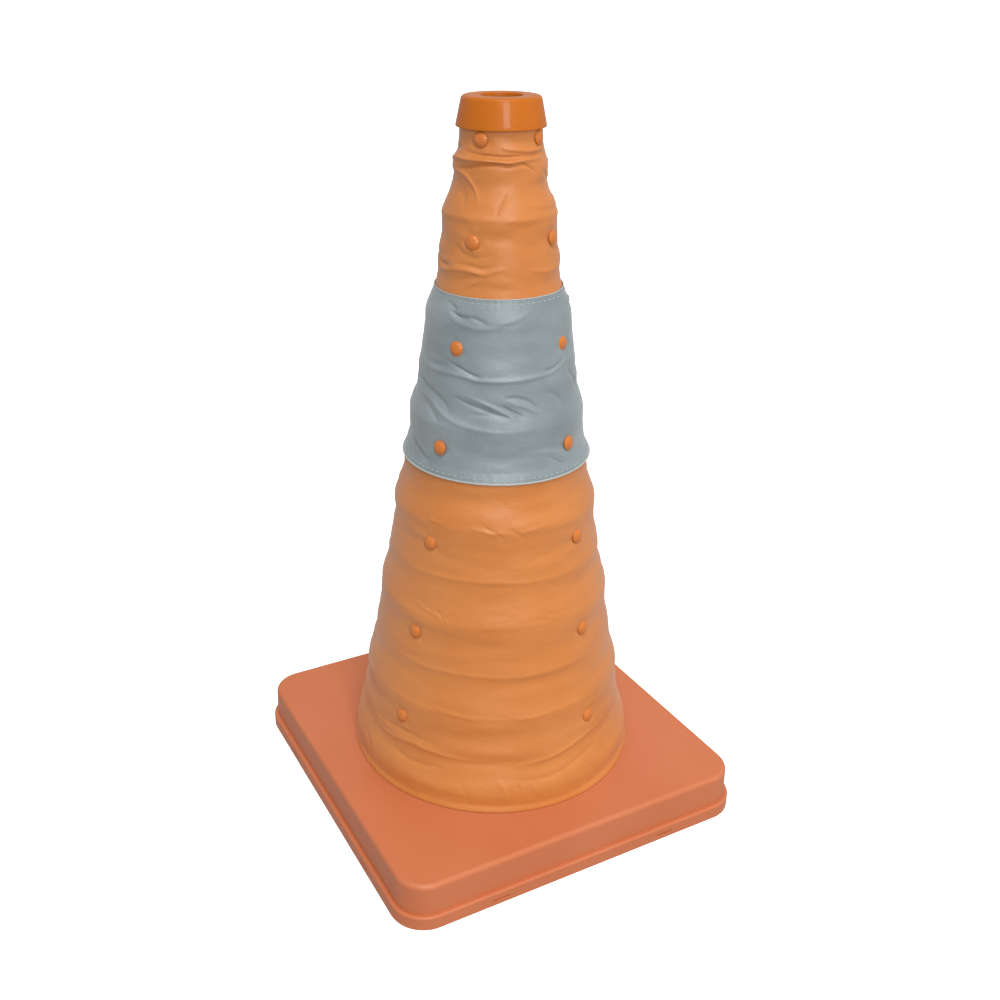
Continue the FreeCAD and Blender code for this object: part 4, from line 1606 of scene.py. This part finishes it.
@dataclass
class Rivets:
    """The moulded rivets, four on each tier.

    Args:
        tiers: the tiers from the top down.
        finish: their material.
        profile: half-section from the crown outwards, as radius and height in millimetres.
        stand: how far the rivet's middle stands off the collar.
        band_stand: the same where it goes through the band.
        tilt: degrees that its axis lies from upright.
    """

    tiers: list[TierLine]
    finish: bpy.types.Material
    profile: tuple[tuple[float, float], ...] = (
        (0.0, 1.95),
        (1.3, 1.90),
        (2.5, 1.66),
        (3.3, 1.22),
        (3.75, 0.78),
        (3.95, 0.62),
        (4.2, 0.58),
        (4.35, 0.40),
        (4.35, 0.05),
        (4.1, -0.55),
        (2.0, -0.75),
        (2.0, -3.1),
        (3.1, -3.2),
        (3.1, -3.9),
        (0.0, -4.0),
    )
    stand: float = 1.2
    band_stand: float = 1.75
    tilt: float = 82.0

    def build(self) -> list[bpy.types.Object]:
        """Builds one piece of four rivets for each tier."""
        return [self._set(tier) for tier in self.tiers]

    def _set(self, tier: TierLine) -> bpy.types.Object:
        """Four rivets of one tier.

        Args:
            tier: the tier that they ride on.

        Returns:
            The piece.
        """
        whole = bmesh.new()
        stand = self.band_stand if tier.number in STACK.banded else self.stand
        for bearing in tier.rivet_bearings():
            start = len(whole.verts)
            one = bmesh.new()
            add_chain(one, self.profile, closed=False)
            spin_round(one, 32)
            mesh = bpy.data.meshes.new("rivet_blank")
            one.to_mesh(mesh)
            one.free()
            whole.from_mesh(mesh)
            bpy.data.meshes.remove(mesh)
            whole.verts.ensure_lookup_table()
            tilt = Matrix.Rotation(math.radians(self.tilt), 4, "Y")
            where = Matrix.Translation(((tier.collar + stand) * MM, 0.0, tier.rivet_height * MM))
            move = Matrix.Rotation(bearing, 4, "Z") @ where @ tilt
            bmesh.ops.transform(whole, matrix=move, verts=whole.verts[start:])
        piece = finished(f"moulded_rivets_{tier.number}", whole, self.finish)
        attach(piece, tier.body)
        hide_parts(f"rivets_{tier.number}")
        return piece


CAP_HOLE = (12.0, 450.0)
"""Radius and height of the cap's edge round its hole, in millimetres."""

CAP_CROWN = (22.3, 450.0)
"""The same of the edge of its crown."""

CAP_FOOT = (25.6, 433.4)
"""The same of its lower outer edge."""


@dataclass
class Cap:
    """The glossy cap with its round hole.

    Args:
        finish: its material.
        section: closed half-section in millimetres, anticlockwise from the hole's lower edge.
        rounded: corner of the section, size of the rounding and its steps, for each rounded edge.
        sharp: least angle of an edge that stays sharp, in degrees.
    """

    finish: bpy.types.Material
    section: tuple[tuple[float, float], ...] = (
        (12.0, 442.0),
        CAP_HOLE,
        CAP_CROWN,
        (25.35, 435.2),
        CAP_FOOT,
        (23.6, 433.4),
        (23.6, 436.5),
        (20.1, 436.5),
        (20.1, 448.0),
        (13.6, 448.0),
        (13.6, 442.0),
    )
    rounded: tuple[tuple[tuple[float, float], float, int], ...] = (
        (CAP_CROWN, 1.9, 6),
        (CAP_HOLE, 0.7, 4),
        (CAP_FOOT, 0.35, 3),
    )
    sharp: float = 35.0

    def build(self) -> bpy.types.Object:
        """Builds the cap."""
        bm = bmesh.new()
        add_chain(bm, self.section, closed=True)
        spin_round(bm, 128)
        for corner, size, segments in self.rounded:
            self._round(bm, corner, size, segments)
        piece = finished("gloss_cap", bm, self.finish)
        piece.data.set_sharp_from_angle(angle=math.radians(self.sharp))
        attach(piece, "tier_1")
        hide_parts("cap")
        return piece

    def _round(self, bm: bmesh.types.BMesh, corner: tuple[float, float], size: float, segments: int) -> None:
        """Rounds one ring of edges.

        Args:
            bm: the cap's mesh.
            corner: radius and height of the ring in millimetres.
            size: width of the rounding.
            segments: steps across it.
        """

        def on_ring(vert: bmesh.types.BMVert) -> bool:
            """Whether a vertex is on the ring."""
            away = abs(vert.co.xy.length - corner[0] * MM) + abs(vert.co.z - corner[1] * MM)
            return away < 1e-5

        edges = [edge for edge in bm.edges if all(on_ring(vert) for vert in edge.verts)]
        bmesh.ops.bevel(
            bm,
            geom=edges,
            offset=size * MM,
            affect="EDGES",
            segments=segments,
            profile=0.5,
            material=-1,
        )


@dataclass
class MouldedParts:
    """The plain parts that keep their own shapes and get a finish.

    Args:
        palette: the finishes.
    """

    palette: Palette

    def dress(self) -> None:
        """Gives every kept part its finish."""
        finishes = {
            "base_cover": self.palette.base,
            "base_plate": self.palette.plate,
            "sleeve_retaining_ring": self.palette.ring,
        }
        finishes.update({f"tier_{n}": self.palette.tier for n in range(1, 8)})
        for name, finish in finishes.items():
            for place in bpy.data.objects[name].material_slots:
                place.material = finish


@dataclass(frozen=True)
class Softbox:
    """A square softbox aimed at the cone's middle.

    Args:
        name: the lamp's name.
        bearing: degrees right of the front.
        height: metres above the floor.
        away: metres from the cone's axis.
        size: side of the softbox in metres.
        power: in watts.
        mirrored: whether it shows in glossy surfaces.
        aim: height of the point that it is aimed at, in metres.
    """

    name: str
    bearing: float
    height: float
    away: float
    size: float
    power: float
    mirrored: bool = False
    aim: float = 0.22

    def place(self) -> None:
        """Puts the lamp in the scene."""
        data = bpy.data.lights.new(self.name, "AREA")
        data.size = self.size
        data.energy = self.power
        lamp = bpy.data.objects.new(self.name, data)
        bpy.context.scene.collection.objects.link(lamp)
        angle = FRONT + math.radians(self.bearing)
        stand = Vector((self.away * math.cos(angle), self.away * math.sin(angle), self.height))
        toward = (Vector((0.0, 0.0, self.aim)) - stand).to_track_quat("-Z", "Y")
        lamp.matrix_world = Matrix.Translation(stand) @ toward.to_matrix().to_4x4()
        lamp.visible_glossy = self.mirrored


@dataclass
class Studio:
    """Floor, lights and camera, in metres and degrees.

    Args:
        sweep: the floor's finish.
        floor_half: half the floor's side.
        floor_rim: how high the floor rises at its edges.
        floor_drop: how far the floor lies below the cone.
        sky: strength of the even light.
        sun_power: strength of the sun.
        sun_spread: how wide the sun is.
        sun_bearing: degrees right of the front.
        sun_lean: how far the sun leans over, for one part upwards.
        softboxes: the lamps.
        camera_place: where the camera stands.
        heading: direction of its view, clockwise from +Y.
        look_down: how far it looks down.
        roll: how far it is turned about its view.
        focal: its focal length in millimetres.
        sensor: width of its sensor in millimetres.
        shift: how far its view is shifted, in parts of the sensor's width.
    """

    sweep: PaperSweep = PaperSweep()
    floor_half: float = 6.0
    floor_rim: float = 5.0
    floor_drop: float = 0.0002
    sky: float = 0.55
    sun_power: float = 1.95
    sun_spread: float = 35.0
    sun_bearing: float = 8.0
    sun_lean: float = 0.5
    softboxes: tuple[Softbox, ...] = (
        Softbox("key_softbox", 14.0, 1.0, 1.7, 0.5, 12.5, mirrored=True),
        Softbox("side_softbox", 80.0, 0.9, 2.0, 1.2, 10.0),
        Softbox("back_softbox", 195.0, 1.0, 2.0, 1.2, 9.0),
    )
    camera_place: tuple[float, float, float] = (-0.3226, -0.5669, 0.5175)
    heading: float = 27.705
    look_down: float = 23.805
    roll: float = 0.242
    focal: float = 40.8
    sensor: float = 36.0
    shift: tuple[float, float] = (0.04, -0.04)

    def build(self) -> None:
        """Sets up the whole studio."""
        self._floor()
        self._sky()
        self._sun()
        for softbox in self.softboxes:
            softbox.place()
        self._camera()

    def _floor(self) -> None:
        """A wide pale floor that rises at its edges."""
        bm = bmesh.new()
        bmesh.ops.create_grid(bm, x_segments=8, y_segments=8, size=self.floor_half)
        for vert in bm.verts:
            if max(abs(vert.co.x), abs(vert.co.y)) > self.floor_half - 0.1:
                vert.co.z = self.floor_rim
        bmesh.ops.translate(bm, verts=bm.verts, vec=(0.0, 0.0, -self.floor_drop))
        floor = finished("studio_floor", bm, self.sweep.material())
        floor.visible_diffuse = False
        floor.visible_glossy = False

    def _sky(self) -> None:
        """Even white light from all round."""
        world = bpy.data.worlds.new("studio_sky")
        world.use_nodes = True
        sky = world.node_tree.nodes["Background"]
        sky.inputs["Color"].default_value = (1.0, 1.0, 1.0, 1.0)
        sky.inputs["Strength"].default_value = self.sky
        scene = bpy.context.scene
        scene.world = world
        scene.view_settings.view_transform = "Standard"
        scene.view_settings.look = "None"

    def _sun(self) -> None:
        """A broad sun from above the front."""
        data = bpy.data.lights.new("broad_sun", "SUN")
        data.energy = self.sun_power
        data.angle = math.radians(self.sun_spread)
        sun = bpy.data.objects.new("broad_sun", data)
        bpy.context.scene.collection.objects.link(sun)
        angle = FRONT + math.radians(self.sun_bearing)
        toward = Vector((math.cos(angle) * self.sun_lean, math.sin(angle) * self.sun_lean, 1.0))
        sun.matrix_world = toward.to_track_quat("Z", "Y").to_matrix().to_4x4()

    def _camera(self) -> None:
        """The camera at the reference view."""
        h, p, r = (math.radians(a) for a in (self.heading, self.look_down, self.roll))
        ahead = Vector((math.sin(h) * math.cos(p), math.cos(h) * math.cos(p), -math.sin(p)))
        right = Vector((math.cos(h), -math.sin(h), 0.0))
        up = right.cross(ahead)
        x = right * math.cos(r) + up * math.sin(r)
        y = up * math.cos(r) - right * math.sin(r)
        data = bpy.data.cameras.new("camera")
        data.lens = self.focal
        data.sensor_width = self.sensor
        data.shift_x, data.shift_y = self.shift
        data.clip_start = 0.01
        camera = bpy.data.objects.new("camera", data)
        bpy.context.scene.collection.objects.link(camera)
        turn = Matrix((x, y, -ahead)).transposed().to_4x4()
        camera.matrix_world = Matrix.Translation(self.camera_place) @ turn
        bpy.context.scene.camera = camera


def main() -> None:
    """Builds the cone and its studio."""
    logging.basicConfig(level=logging.INFO, format="%(name)s: %(message)s")
    Studio().build()
    palette = Palette()
    MouldedParts(palette).dress()
    tiers = tier_lines()
    shape = ClothShape(tiers, TOP_FOLDS + PLEATS + UPPER_FOLDS + BAND_FOLDS + LOWER_FOLDS)
    maker = ClothMaker(shape)
    sewing = Seamstress(shape)
    pieces = Sleeve(maker, sewing, palette).build()
    pieces += ReflectiveBand(maker, sewing, palette).build()
    pieces += Rivets(tiers, palette.rivet).build()
    pieces.append(Cap(palette.cap).build())
    for piece in pieces:
        spans = [round(span, 4) for span in piece.dimensions]
        log.info("%s: %d faces, spans %s m", piece.name, len(piece.data.polygons), spans)


if __name__ == "__main__":
    main()
